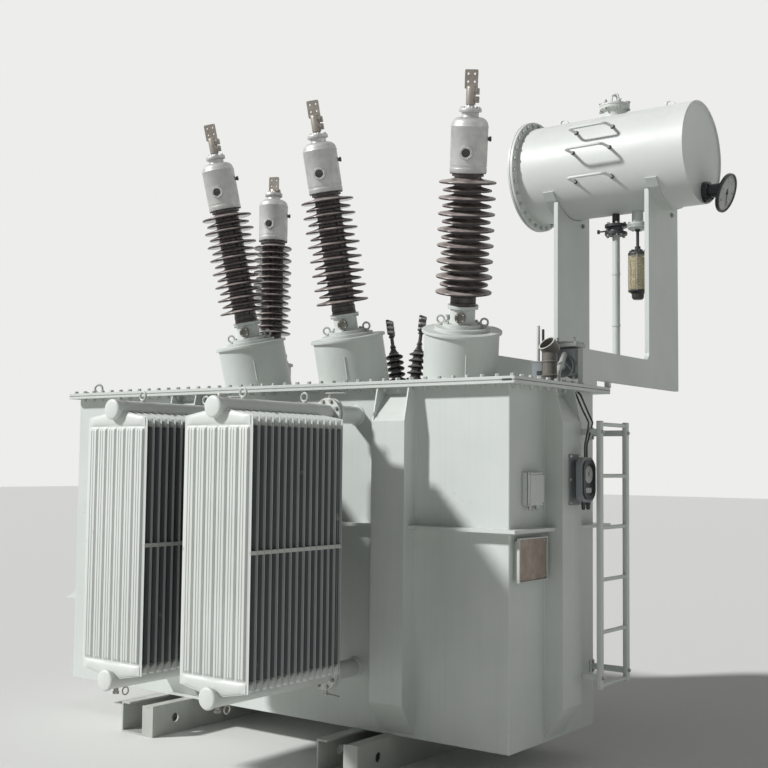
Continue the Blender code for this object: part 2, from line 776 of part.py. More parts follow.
def radiator(name, place, paint):
    """Panels between two header boxes, on two header pipes with capped ends."""
    first = RADIATOR_STANDOFF
    outer = first + STACK_DEPTH
    top = TANK_BOTTOM + HEADER_LEVEL
    low = top - HEADER_SPACING
    half = PANEL_WIDTH / 2
    zones = []
    for level, sign in ((top, 1), (low, -1)):
        corner = level - sign * HEADER_BOX_CORNER
        edge = level - sign * HEADER_BOX_EDGE
        zone = [(-half, edge), (half, edge), (half, corner), (0, level), (-half, corner)]
        zones.append(face_prism(zone, STACK_DEPTH, place, first))
    bottom = low + HEADER_BOX_EDGE - PANEL_THICKNESS
    height = HEADER_SPACING - 2 * HEADER_BOX_EDGE + 2 * PANEL_THICKNESS
    plan = panel_outline(PANEL_WIDTH - 2 * PANEL_INSET, PANEL_THICKNESS, PANEL_TAPER)
    panels = []
    for index in range(PANEL_COUNT):
        middle = first + PANEL_THICKNESS / 2 + PANEL_INSET + index * PANEL_PITCH
        panels.append(prism(plan, height, place @ at(middle, 0, bottom)))
    pipes = [header_pipe(place, level, outer + HEADER_END) for level in (top, low)]
    face = outer - PANEL_INSET
    ribs = flutes(place, face, low + HEADER_BOX_EDGE + FLUTE_END, top - HEADER_BOX_EDGE - FLUTE_END)
    strap_ends = (first + PANEL_THICKNESS / 2, outer - PANEL_THICKNESS / 2)
    strap_rise = STRAP_HEIGHT / 2
    strap = [(strap_ends[0], -strap_rise), (strap_ends[1], -strap_rise), (strap_ends[1], strap_rise),
             (strap_ends[0], strap_rise)]
    straps = [
        wall_prism(strap, STRAP_THICKNESS, place @ at(0, side * (half - PANEL_TAPER / 2), (top + low) / 2))
        for side in (-1, 1)
    ]
    body = union(merged(*zones), merged(*panels), merged(*pipes), ribs, merged(*straps))
    return make_object(name, body, paint)


def leaning(x, y, lean, spread):
    """A frame on the cover whose Z axis leans to -Y and spreads along X."""
    return (at(x, y, COVER_TOP) @ Matrix.Rotation(spread, 4, "Y") @ Matrix.Rotation(lean, 4, "X"))


def cover_cutter(frame, reach):
    """A block below the cover's top, to cut the foot of a leaning piece level."""
    origin = frame.translation
    return box((reach, reach, reach), (origin.x, origin.y, COVER_TOP + SEAT_GAP - reach / 2))


def turret(name, frame, sizes, paint):
    """A round turret cut off on the cover, with its lid, pad, neck and oil port."""
    body_diameter, lid_top, pad_diameter = sizes
    body_radius = body_diameter / 2
    lid_radius = body_radius + LID_OVERHANG
    pad_radius = pad_diameter / 2
    flange_radius = NECK_FLANGE_DIAMETER / 2
    top_radius = NECK_TOP_DIAMETER / 2
    pad_top = lid_top + LID_PAD_PLATE
    flange_top = pad_top + NECK_FLANGE_PLATE
    neck_top = pad_top + NECK_HEIGHT
    profile = [
        (0, -body_radius), (body_radius, -body_radius), (body_radius, lid_top - LID_PLATE),
        (lid_radius, lid_top - LID_PLATE), (lid_radius, lid_top), (pad_radius, lid_top),
        (pad_radius, pad_top),
        (flange_radius, pad_top), (flange_radius, flange_top), (NECK_DIAMETER / 2, flange_top),
        (NECK_DIAMETER / 2, neck_top - NECK_TOP_PLATE), (top_radius, neck_top - NECK_TOP_PLATE),
        (top_radius, neck_top), (0, neck_top),
    ]
    shape = turned(profile, TURRET_SIDES, frame)
    port_level = pad_top + NECK_HEIGHT / 2
    port = rod(PORT_DIAMETER, PORT_REACH, STEP_SIDES * 2,
               frame @ Matrix.Rotation(GLASS_TURN, 4, "Z") @ along_y(0, 0, port_level))
    trimmed = cut(union(shape, port), cover_cutter(frame, 2 * body_diameter))
    return make_object(name, trimmed, paint, SMOOTH_SHARE)


def porcelain_profile(shed_diameters):
    """Sheds of two sizes in turn, sloped on top and undercut below."""
    core = PORCELAIN_DIAMETER / 2
    foot = BUSHING_FOOT_DIAMETER / 2
    points = [(0, 0), (foot, 0), (foot, BUSHING_FOOT), (core, BUSHING_FOOT)]
    pitch = PORCELAIN_LENGTH / SHED_COUNT
    for index in range(SHED_COUNT):
        level = BUSHING_FOOT + index * pitch
        diameter = shed_diameters[index % 2]
        points += [(diameter / 2, level + pitch * SHED_RISE_SHARE), (core, level + pitch)]
    points.append((0, points[-1][1]))
    return points


def insulator(name, frame, shed_diameters, glaze):
    """The brown porcelain on its dark metal foot."""
    shape = turned(porcelain_profile(shed_diameters), BUSHING_SIDES, frame)
    return make_object(name, shape, glaze, SMOOTH_SHARE)


def bushing_head(name, frame, sizes, metal):
    """The oil head with its round glass, stud, clamp and flag terminal."""
    stud_height, clamp_height = sizes
    radius = HEAD_DIAMETER / 2
    cap_radius = HEAD_CAP_DIAMETER / 2
    collar = HEAD_COLLAR_DIAMETER / 2
    shoulder_top = HEAD_HEIGHT
    profile = [(0, 0), (collar, 0), (collar, HEAD_COLLAR_HEIGHT), (radius, HEAD_COLLAR_HEIGHT)]
    for step in range(HEAD_SHOULDER_STEPS + 1):
        angle = math.pi / 2 * step / HEAD_SHOULDER_STEPS
        profile.append((radius - HEAD_SHOULDER * (1 - math.cos(angle)),
                        shoulder_top - HEAD_SHOULDER * (1 - math.sin(angle))))
    cap_top = shoulder_top + HEAD_CAP_HEIGHT
    stud_top = cap_top + stud_height
    profile += [(cap_radius, shoulder_top), (cap_radius, cap_top), (STUD_DIAMETER / 2, cap_top),
                (STUD_DIAMETER / 2, stud_top), (0, stud_top)]
    body = turned(profile, BUSHING_SIDES, frame)
    turned_frame = frame @ Matrix.Rotation(GLASS_TURN, 4, "Z")
    glass_place = turned_frame @ along_y(0, 0, GLASS_LEVEL)
    glass = rod(GLASS_DIAMETER, radius + GLASS_STANDOFF, STEP_SIDES * 2, glass_place)
    clamp_middle = stud_top - clamp_height / 2 + TERMINAL_PLATE
    clamp = box((CLAMP_WIDTH, CLAMP_DEPTH, clamp_height), (0, 0, clamp_middle))
    bmesh.ops.transform(clamp, matrix=turned_frame, verts=clamp.verts)
    flag_middle = stud_top + TERMINAL_HEIGHT / 2
    flag = box((TERMINAL_WIDTH, TERMINAL_PLATE, TERMINAL_HEIGHT), (0, 0, flag_middle))
    bmesh.ops.transform(flag, matrix=turned_frame, verts=flag.verts)
    return make_object(name, union(body, glass, clamp, flag), metal, SMOOTH_SHARE)


def tall_bushing(label, frame, sizes, finishes):
    """Turret, porcelain and head in line on one leaning axis."""
    turret_sizes, shed_diameters, head_sizes = sizes
    paint, glaze, metal = finishes
    neck_top = turret_sizes[1] + LID_PAD_PLATE + NECK_HEIGHT
    insulator_top = neck_top + SEAT_GAP + BUSHING_FOOT + PORCELAIN_LENGTH
    return [
        turret(f"turret_{label}", frame, turret_sizes, paint),
        insulator(f"insulator_{label}", frame @ at(0, 0, neck_top + SEAT_GAP), shed_diameters, glaze),
        bushing_head(f"bushing_head_{label}", frame @ at(0, 0, insulator_top + SEAT_GAP), head_sizes, metal),
    ]


def lv_bushing(name, frame, glaze):
    """A small leaning bushing: base, sheds, stud and flag."""
    core = LV_CORE_DIAMETER / 2
    base = LV_BASE_DIAMETER / 2
    pitch = LV_PORCELAIN_LENGTH / LV_SHED_COUNT
    profile = [(0, -base), (base, -base), (base, LV_BASE_HEIGHT), (core, LV_BASE_HEIGHT)]
    for index in range(LV_SHED_COUNT):
        level = LV_BASE_HEIGHT + index * pitch
        profile += [(LV_SHED_DIAMETER / 2, level + pitch * SHED_RISE_SHARE), (core, level + pitch)]
    porcelain_top = profile[-1][1]
    stud = LV_STUD_DIAMETER / 2
    stud_top = porcelain_top + LV_STUD_HEIGHT
    profile += [(stud, porcelain_top), (stud, stud_top), (0, stud_top)]
    body = turned(profile, LV_SIDES, frame)
    flag_middle = stud_top - LV_FLAG_PLATE + LV_FLAG_HEIGHT / 2
    flag = box((LV_FLAG_PLATE, LV_FLAG_WIDTH, LV_FLAG_HEIGHT), (0, 0, flag_middle))
    bmesh.ops.transform(flag, matrix=frame, verts=flag.verts)
    trimmed = cut(union(body, flag), cover_cutter(frame, 2 * LV_BASE_DIAMETER))
    return make_object(name, trimmed, glaze, SMOOTH_SHARE)


def ring_turned(profile, sides, to_world):
    """Turn a closed profile of (radius, height) points that stays clear of the axis."""
    shape = bmesh.new()
    rings = []
    for radius, height in profile:
        angles = [2 * math.pi * step / sides for step in range(sides)]
        rings.append([shape.verts.new((radius * math.cos(a), radius * math.sin(a), height)) for a in angles])
    for index, lower in enumerate(rings):
        upper = rings[(index + 1) % len(rings)]
        for step in range(sides):
            after = (step + 1) % sides
            shape.faces.new((lower[step], lower[after], upper[after], upper[step]))
    bmesh.ops.transform(shape, matrix=to_world, verts=shape.verts)
    return shape


def drum_solid(clearance):
    """The drum's outer shape, larger by a clearance, as a cutter."""
    reach = DRUM_LENGTH + 2 * CUT_OVERRUN
    left = DRUM_MIDDLE - reach / 2
    return rod(DRUM_DIAMETER + 2 * clearance, reach, DRUM_SIDES, along_x(left, DRUM_AXIS_Y, DRUM_LEVEL))


def step_rod(angle):
    """A U-shaped rung on the near side of the drum."""
    x = DRUM_MIDDLE + STEP_SHIFT
    root = DRUM_AXIS_Y - DRUM_RADIUS * math.cos(angle) + STEP_ROD / 2
    tip = root - STEP_ROD / 2 - STEP_REACH
    z = DRUM_LEVEL + DRUM_RADIUS * math.sin(angle)
    half = STEP_WIDTH / 2
    corners = [(x - half, root, z), (x - half, tip, z), (x + half, tip, z), (x + half, root, z)]
    return swept(rounded_path(corners, STEP_BEND, 2), STEP_ROD, STEP_SIDES)


def drum_lug(shift):
    """A half-round lifting lug on top of the drum."""
    x = DRUM_MIDDLE + shift
    root = DRUM_LEVEL + DRUM_RADIUS - DRUM_WALL / 2
    steps = 8
    angles = [math.pi * step / steps for step in range(steps + 1)]
    arc = [(DRUM_LUG_RADIUS * math.cos(angle), DRUM_LUG_RADIUS * math.sin(angle)) for angle in angles]
    plate = prism(arc, DRUM_LUG_PLATE, plane_xz(DRUM_AXIS_Y + DRUM_LUG_PLATE / 2, x, root))
    hole = rod(DRUM_LUG_HOLE_DIAMETER, DRUM_LUG_PLATE + 2 * CUT_OVERRUN, STEP_SIDES,
               along_y(x, DRUM_AXIS_Y + DRUM_LUG_PLATE / 2 + CUT_OVERRUN, root + DRUM_LUG_RADIUS / 2))
    return cut(plate, hole)


def conservator_shell(paint):
    """The open drum with its bolting flange, rungs and lifting lugs."""
    left = DRUM_MIDDLE - DRUM_LENGTH / 2 + DRUM_COVER_PLATE + SEAT_GAP
    length = DRUM_MIDDLE + DRUM_LENGTH / 2 - left
    bore = DRUM_RADIUS - DRUM_WALL
    flange = DRUM_FLANGE_DIAMETER / 2
    profile = [(bore, 0), (flange, 0), (flange, DRUM_FLANGE_PLATE), (DRUM_RADIUS, DRUM_FLANGE_PLATE),
               (DRUM_RADIUS, length), (bore, length)]
    shell = ring_turned(profile, DRUM_SIDES, along_x(left, DRUM_AXIS_Y, DRUM_LEVEL))
    extras = [step_rod(angle) for angle in STEP_ANGLES]
    extras += [drum_lug(shift) for shift in DRUM_LUG_SHIFTS]
    return make_object("conservator_shell", union(shell, *extras), paint, SMOOTH_SHARE)


def conservator_ends(paint):
    """The bolted left cover, and the right end plate set in from the rim."""
    left = DRUM_MIDDLE - DRUM_LENGTH / 2
    right = DRUM_MIDDLE + DRUM_LENGTH / 2 - DRUM_END_RIM - DRUM_END_PLATE
    bore = DRUM_DIAMETER - 2 * (DRUM_WALL + SEAT_GAP)
    cover = rod(DRUM_FLANGE_DIAMETER, DRUM_COVER_PLATE, DRUM_SIDES, along_x(left, DRUM_AXIS_Y, DRUM_LEVEL))
    plate = rod(bore, DRUM_END_PLATE, DRUM_SIDES, along_x(right, DRUM_AXIS_Y, DRUM_LEVEL))
    return [
        make_object("conservator_cover", cover, paint, SMOOTH_SHARE),
        make_object("conservator_end_plate", plate, paint, SMOOTH_SHARE),
    ]


def filler_cap(paint):
    """A flanged filler neck with a bolted lid, a low dome and a lifting ring."""
    x = DRUM_MIDDLE + FILLER_SHIFT
    neck = FILLER_NECK_DIAMETER / 2
    lid = FILLER_LID_DIAMETER / 2
    dome = FILLER_DOME_DIAMETER / 2
    sunk = -DRUM_RADIUS / 4
    lid_low = FILLER_NECK_HEIGHT
    lid_top = lid_low + FILLER_LID_PLATE
    profile = [(0, sunk), (neck, sunk), (neck, lid_low), (lid, lid_low), (lid, lid_top), (dome, lid_top),
               (dome / 2, lid_top + FILLER_DOME_HEIGHT), (0, lid_top + FILLER_DOME_HEIGHT)]
    base = DRUM_LEVEL + DRUM_RADIUS
    body = turned(profile, FILLER_SIDES, at(x, DRUM_AXIS_Y, base))
    ring_foot = base + lid_top + FILLER_DOME_HEIGHT / 2
    ring_top = ring_foot + FILLER_RING_HEIGHT
    half = FILLER_RING_WIDTH / 2
    corners = [(x - half, DRUM_AXIS_Y, ring_foot), (x - half / 2, DRUM_AXIS_Y, ring_top),
               (x + half / 2, DRUM_AXIS_Y, ring_top), (x + half, DRUM_AXIS_Y, ring_foot)]
    ring = swept(rounded_path(corners, FILLER_RING_ROD, 2), FILLER_RING_ROD, STEP_SIDES)
    return make_object("filler_cap", cut(union(body, ring), drum_solid(SEAT_GAP)), paint, SMOOTH_SHARE)


def bracket(name, face, saddle_overhang, paint):
    """An L-shaped channel bracket: an arm on the cover, a post and a curved saddle."""
    start = COVER_WIDTH / 2 - ARM_REACH
    front = DRUM_AXIS_Y - POST_WIDTH / 2
    rear = DRUM_AXIS_Y + POST_WIDTH / 2
    top = DRUM_LEVEL
    corner = []
    for step in range(POST_CORNER_STEPS + 1):
        angle = math.pi / 2 * step / POST_CORNER_STEPS
        along = front - POST_CORNER * (1 - math.cos(angle))
        corner.append((along, ARM_TOP + POST_CORNER * (1 - math.sin(angle))))
    outline = [(start, ARM_BOTTOM), (rear, ARM_BOTTOM), (rear, top), (front, top), *corner,
               (start, ARM_TOP)]
    plate = BRACKET_PLATE
    inset = [(start + plate, ARM_BOTTOM + plate), (rear - plate, ARM_BOTTOM + plate),
             (rear - plate, top + plate),
             (front + plate, top + plate), *[(y + plate, z - plate) for y, z in corner],
             (start + plate, ARM_TOP - plate)]
    low_x = face - BRACKET_FLANGE
    body = prism(outline, BRACKET_FLANGE, plane_yz(low_x))
    pocket = prism(inset, BRACKET_FLANGE - plate + CUT_OVERRUN, plane_yz(low_x - CUT_OVERRUN))
    body = cut(cut(body, pocket), drum_solid(SEAT_GAP + SADDLE_PLATE / 2))
    edge = COVER_WIDTH / 2
    notch_end = edge - FOOT_END
    notch_start = notch_end - FOOT_NOTCH
    feet = []
    foot_floor = COVER_TOP + SEAT_GAP
    foot_height = ARM_BOTTOM + plate / 2 - foot_floor
    for low_y, high_y in ((start, notch_start), (notch_end, edge)):
        size = (BRACKET_FLANGE, high_y - low_y, foot_height)
        centre = (face - BRACKET_FLANGE / 2, (low_y + high_y) / 2, foot_floor + foot_height / 2)
        feet.append(box(size, centre))
    inner = DRUM_RADIUS + SEAT_GAP
    outer = inner + SADDLE_PLATE
    angles = [2 * math.pi * k / DRUM_SIDES for k in range(-SADDLE_FACETS, SADDLE_FACETS + 1)]
    arc = [(DRUM_AXIS_Y + outer * math.sin(a), DRUM_LEVEL - outer * math.cos(a)) for a in angles]
    arc += [(DRUM_AXIS_Y + inner * math.sin(a), DRUM_LEVEL - inner * math.cos(a)) for a in reversed(angles)]
    saddle = prism(arc, SADDLE_WIDTH, plane_yz(face + saddle_overhang - SADDLE_WIDTH))
    return make_object(name, union(body, saddle, *feet), paint, SMOOTH_SHARE / 2)


def pipework(paint, metal):
    """The oil pipe in two lengths, with the gas relay between and the valve under the drum."""
    x = DRUM_MIDDLE + PIPE_SHIFT
    low = COVER_TOP + PIPE_LOW_RISE
    seat_y = COVER_WIDTH / 2 - PIPE_SEAT_INSET
    relay_y = COVER_WIDTH / 2 + RELAY_REACH
    relay_front = relay_y - RELAY_LENGTH / 2
    relay_rear = relay_y + RELAY_LENGTH / 2
    valve_low = DRUM_LEVEL - DRUM_RADIUS - VALVE_DROP - VALVE_HEIGHT / 2
    seat = COVER_TOP + SEAT_GAP
    front_path = rounded_path([(x, seat_y, seat), (x, seat_y, low), (x, relay_front - SEAT_GAP, low)],
                              PIPE_BEND, PIPE_BEND_STEPS)
    front = union(
        swept(front_path, PIPE_DIAMETER, PIPE_SIDES),
        rod(PIPE_SEAT_DIAMETER, PIPE_SEAT_PLATE, PIPE_SIDES, at(x, seat_y, seat)),
    )
    rear_path = rounded_path([(x, relay_rear + SEAT_GAP, low), (x, DRUM_AXIS_Y, low),
                              (x, DRUM_AXIS_Y, valve_low - SEAT_GAP)], PIPE_BEND, PIPE_BEND_STEPS)
    rear = swept(rear_path, PIPE_DIAMETER, PIPE_SIDES)
    relay = gas_relay(x, relay_y, low)
    valve_x_lever = x - VALVE_DIAMETER / 2
    half = VALVE_DIAMETER / 2
    profile = [(0, 0), (half, 0), (half, VALVE_HEIGHT / 3), (half * 2 / 3, VALVE_HEIGHT / 3),
               (half * 2 / 3, VALVE_HEIGHT * 2 / 3), (half, VALVE_HEIGHT * 2 / 3), (half, VALVE_HEIGHT),
               (PIPE_DIAMETER / 2, VALVE_HEIGHT), (PIPE_DIAMETER / 2, VALVE_HEIGHT + 2 * VALVE_DROP),
               (0, VALVE_HEIGHT + 2 * VALVE_DROP)]
    valve = turned(profile, PIPE_SIDES, at(x, DRUM_AXIS_Y, valve_low))
    lever = box((VALVE_LEVER_LENGTH, VALVE_LEVER_WIDTH, VALVE_LEVER_PLATE),
                (valve_x_lever, DRUM_AXIS_Y, valve_low + VALVE_HEIGHT / 2))
    valve = cut(union(valve, lever), drum_solid(SEAT_GAP))
    return [
        make_object("oil_pipe_front", front, paint, SMOOTH_SHARE),
        make_object("oil_pipe_rear", rear, paint, SMOOTH_SHARE),
        make_object("gas_relay", relay, metal, SMOOTH_SHARE),
        make_object("drum_valve", valve, metal, SMOOTH_SHARE),
    ]


def gas_relay(x, y, z):
    """A relay body between two round flanges, with a square cap on top."""
    start = y - RELAY_LENGTH / 2
    flange = RELAY_FLANGE_DIAMETER / 2
    barrel = PIPE_DIAMETER
    profile = [(0, 0), (flange, 0), (flange, RELAY_FLANGE_PLATE), (barrel, RELAY_FLANGE_PLATE),
               (barrel, RELAY_LENGTH - RELAY_FLANGE_PLATE), (flange, RELAY_LENGTH - RELAY_FLANGE_PLATE),
               (flange, RELAY_LENGTH), (0, RELAY_LENGTH)]
    lying = at(x, start, z) @ Matrix.Rotation(-math.pi / 2, 4, "X")
    body_length = RELAY_LENGTH - 4 * RELAY_FLANGE_PLATE
    body = box((RELAY_BODY_WIDTH, body_length, RELAY_BODY_HEIGHT), (x, y, z + RELAY_BODY_HEIGHT / 4))
    cap_level = z + RELAY_BODY_HEIGHT * 3 / 4
    cap_length = body_length + 2 * RELAY_FLANGE_PLATE
    cap = prism(rounded_rectangle(RELAY_CAP_WIDTH, cap_length, RELAY_FLANGE_PLATE, 2),
                RELAY_CAP_HEIGHT, at(x, y, cap_level - RELAY_FLANGE_PLATE / 2))
    return union(turned(profile, PIPE_SIDES, lying), body, cap)


def relief_valve(paint):
    """A relief valve on the cover, under a hood whose mouth leans out over the front."""
    x = DRUM_MIDDLE + PIPE_SHIFT + RELIEF_SHIFT
    y = COVER_WIDTH / 2 - RELIEF_INSET
    base = RELIEF_BASE_DIAMETER / 2
    body = RELIEF_BODY_DIAMETER / 2
    hood = RELIEF_HOOD_DIAMETER / 2
    bore = hood - RELIEF_HOOD_RIM
    top = RELIEF_BASE_PLATE + RELIEF_BODY_HEIGHT
    seat = COVER_TOP + SEAT_GAP
    profile = [(0, 0), (base, 0), (base, RELIEF_BASE_PLATE), (body, RELIEF_BASE_PLATE), (body, top),
               (0, top)]
    half = RELIEF_HOOD_HEIGHT / 2
    hood_profile = [(0, -half), (body, -half), (hood, -half / 2), (hood, half), (bore, half), (bore, 0),
                    (0, 0)]
    tilt = Matrix.Rotation(RELIEF_SPREAD, 4, "Y") @ Matrix.Rotation(RELIEF_LEAN, 4, "X")
    mouth = turned(hood_profile, BUSHING_SIDES, at(x, y, seat + top + half) @ tilt)
    shape = union(turned(profile, BUSHING_SIDES, at(x, y, seat)), mouth)
    return make_object("relief_valve", shape, paint, SMOOTH_SHARE)


def breather(paint, glass):
    """The hanging pipe with its flange, and below it the glass dryer with cap and cup."""
    x = DRUM_MIDDLE + BREATHER_SHIFT
    low = DRUM_LEVEL - DRUM_RADIUS
    pipe = BREATHER_PIPE_DIAMETER / 2
    flange = BREATHER_FLANGE_DIAMETER / 2
    tube = BREATHER_TUBE_DIAMETER / 2
    flange_top = -BREATHER_PIPE_LENGTH
    flange_low = flange_top - BREATHER_FLANGE_PLATE
    tube_low = flange_low - BREATHER_TUBE_LENGTH
    sunk = DRUM_RADIUS / 4
    hanger_profile = [(0, tube_low), (tube, tube_low), (tube, flange_low), (flange * 3 / 4, flange_low),
                      (flange, flange_low + BREATHER_FLANGE_PLATE / 2), (flange, flange_top),
                      (pipe, flange_top), (pipe, sunk), (0, sunk)]
    hanger = cut(turned(hanger_profile, BREATHER_SIDES, at(x, DRUM_AXIS_Y, low)), drum_solid(SEAT_GAP))
    cap = BREATHER_CAP_DIAMETER / 2
    jar = BREATHER_GLASS_DIAMETER / 2
    cup = BREATHER_CUP_DIAMETER / 2
    top = tube_low - SEAT_GAP
    cap_low = top - BREATHER_CAP_HEIGHT
    jar_low = cap_low - BREATHER_GLASS_HEIGHT
    cup_low = jar_low - BREATHER_CUP_HEIGHT
    dryer_profile = [(0, cup_low), (cup * 3 / 4, cup_low), (cup, cup_low + BREATHER_CUP_HEIGHT / 4),
                     (cup, jar_low - BREATHER_CUP_HEIGHT / 4), (jar, jar_low), (jar, cap_low),
                     (cap, cap_low), (cap, top - BREATHER_CAP_HEIGHT / 3),
                     (cap / 2, top - BREATHER_CAP_HEIGHT / 3), (cap / 2, top), (0, top)]
    dryer = turned(dryer_profile, BREATHER_SIDES, at(x, DRUM_AXIS_Y, low))
    return [
        make_object("breather_hanger", hanger, paint, SMOOTH_SHARE),
        make_object("breather_dryer", dryer, glass, SMOOTH_SHARE),
    ]


def oil_gauge(metal):
    """A dial tilted down towards a reader on the ground, on a stem and boss."""
    face = DRUM_MIDDLE + DRUM_LENGTH / 2 - DRUM_END_RIM + SEAT_GAP
    y = DRUM_AXIS_Y + GAUGE_OFFSET
    z = DRUM_LEVEL - GAUGE_DROP
    boss = rod(GAUGE_BOSS_DIAMETER, GAUGE_BOSS_PLATE, BUSHING_SIDES, along_x(face, y, z))
    stem = rod(GAUGE_STEM_DIAMETER, GAUGE_REACH, BUSHING_SIDES, along_x(face, y, z))
    rim = GAUGE_DIAMETER / 2
    dial = rim - GAUGE_RIM
    profile = [(0, -GAUGE_DEPTH), (GAUGE_STEM_DIAMETER / 2, -GAUGE_DEPTH), (rim, -GAUGE_DEPTH / 2),
               (rim, 0),
               (dial, 0), (dial, -GAUGE_RECESS), (0, -GAUGE_RECESS)]
    tilt = Matrix.Rotation(GAUGE_TILT, 4, "Y")
    place = along_x(face + GAUGE_REACH, y, z - GAUGE_SAG) @ tilt @ at(0, 0, GAUGE_DEPTH / 2)
    return make_object("oil_gauge", union(boss, stem, turned(profile, GAUGE_SIDES, place)), metal, SMOOTH_SHARE)


def ladder(paint):
    """Two stiles, round rungs, and four brackets that reach the wall."""
    bottom = TANK_BOTTOM + LADDER_LIFT
    length = (LADDER_RUNG_COUNT - 1) * LADDER_RUNG_PITCH
    x = RIGHT_WALL + LADDER_STANDOFF
    solids = []
    for side in (-1, 1):
        y = LADDER_OFFSET + side * LADDER_WIDTH / 2
        stile = (LADDER_STILE_THICKNESS, LADDER_STILE_WIDTH, length + LADDER_STILE_WIDTH)
        solids.append(box(stile, (x, y, bottom + length / 2)))
        for level in (bottom + LADDER_BRACKET_INSET, bottom + length - LADDER_BRACKET_INSET):
            start = RIGHT_WALL + SEAT_GAP
            size = (x - start, LADDER_BRACKET_THICKNESS, LADDER_BRACKET_HEIGHT)
            solids.append(box(size, ((x + start) / 2, y, level)))
    for index in range(LADDER_RUNG_COUNT):
        z = bottom + index * LADDER_RUNG_PITCH
        place = at(x, LADDER_OFFSET - LADDER_WIDTH / 2, z) @ Matrix.Rotation(-math.pi / 2, 4, "X")
        solids.append(rod(LADDER_RUNG_DIAMETER, LADDER_WIDTH, LADDER_RUNG_SIDES, place))
    return make_object("ladder", union(solids[0], *solids[1:]), paint)


def plate_holder(paint):
    """The stand-off frame that carries the rating plate, left bare."""
    place = on_right(HOLDER_OFFSET, TANK_BOTTOM + HOLDER_LIFT + HOLDER_HEIGHT / 2)
    body = face_prism(rectangle(HOLDER_WIDTH, HOLDER_HEIGHT), HOLDER_DEPTH, place)
    field = rectangle(HOLDER_WIDTH - 2 * HOLDER_RIM, HOLDER_HEIGHT - 2 * HOLDER_RIM)
    recess = face_prism(field, HOLDER_RECESS + CUT_OVERRUN, place, HOLDER_DEPTH - HOLDER_RECESS)
    return make_object("plate_holder", cut(body, recess), paint)


def small_box(paint):
    """A shallow terminal box with a raised lid."""
    place = on_right(SMALL_BOX_OFFSET, TANK_BOTTOM + SMALL_BOX_LIFT + SMALL_BOX_HEIGHT / 2)
    body = face_prism(rectangle(SMALL_BOX_WIDTH, SMALL_BOX_HEIGHT), SMALL_BOX_DEPTH, place)
    lid_size = (SMALL_BOX_WIDTH - 2 * SMALL_BOX_RIM, SMALL_BOX_HEIGHT - 2 * SMALL_BOX_RIM)
    lid = face_prism(rectangle(*lid_size), SMALL_BOX_RISE * 2, place, SMALL_BOX_DEPTH - SMALL_BOX_RISE)
    return make_object("small_terminal_box", union(body, lid), paint)


def dial_box(paint):
    """The thermometer box, on two pins off a back plate on the end stiffener."""
    middle = TANK_BOTTOM + DIAL_BOX_LIFT + DIAL_BOX_HEIGHT / 2
    place = on_right(0.0, middle) @ at(STIFFENER_DEPTH + SEAT_GAP, 0, 0)
    back = face_prism(rectangle(DIAL_BACK_WIDTH, DIAL_BACK_HEIGHT), DIAL_BACK_PLATE,
                      place @ at(0, DIAL_BACK_OFFSET, 0))
    body_start = DIAL_BACK_PLATE + DIAL_STANDOFF
    body_place = place @ at(body_start, DIAL_BOX_OFFSET, 0)
    outline = rounded_rectangle(DIAL_BOX_WIDTH, DIAL_BOX_HEIGHT, DIAL_BOX_CORNER, 4)
    solids = [face_prism(outline, DIAL_BOX_DEPTH, body_place)]
    bezel = rounded_rectangle(DIAL_BEZEL_WIDTH, DIAL_BEZEL_HEIGHT, DIAL_BOX_CORNER, 4)
    solids.append(face_prism(bezel, 2 * DIAL_BEZEL_RISE, body_place, DIAL_BOX_DEPTH - DIAL_BEZEL_RISE))
    for side in (-1, 1):
        pin = place @ along_x(DIAL_BACK_PLATE / 2, DIAL_STANDOFF_OFFSET, side * DIAL_STANDOFF_SPACING / 2)
        solids.append(rod(DIAL_STANDOFF_DIAMETER, DIAL_STANDOFF + DIAL_BACK_PLATE, LADDER_RUNG_SIDES, pin))
        gland_level = -DIAL_BOX_HEIGHT / 2 - GLAND_LENGTH
        gland = body_place @ at(DIAL_BOX_DEPTH / 2, side * GLAND_PITCH / 2, gland_level)
        solids.append(rod(GLAND_DIAMETER, 2 * GLAND_LENGTH, LADDER_RUNG_SIDES, gland))
    return make_object("dial_box", union(back, *solids), paint, SMOOTH_SHARE / 2)


def stand_on_origin(objects):
    """Hang every piece on one empty, and put the middle of the footprint over the origin."""
    points = [obj.matrix_world @ vertex.co for obj in objects for vertex in obj.data.vertices]
    low = Vector([min(point[axis] for point in points) for axis in range(3)])
    high = Vector([max(point[axis] for point in points) for axis in range(3)])
    root = bpy.data.objects.new("transformer_root", None)
    bpy.context.scene.collection.objects.link(root)
    root.location = (-(low.x + high.x) / 2, -(low.y + high.y) / 2, -low.z)
    for obj in objects:
        obj.parent = root


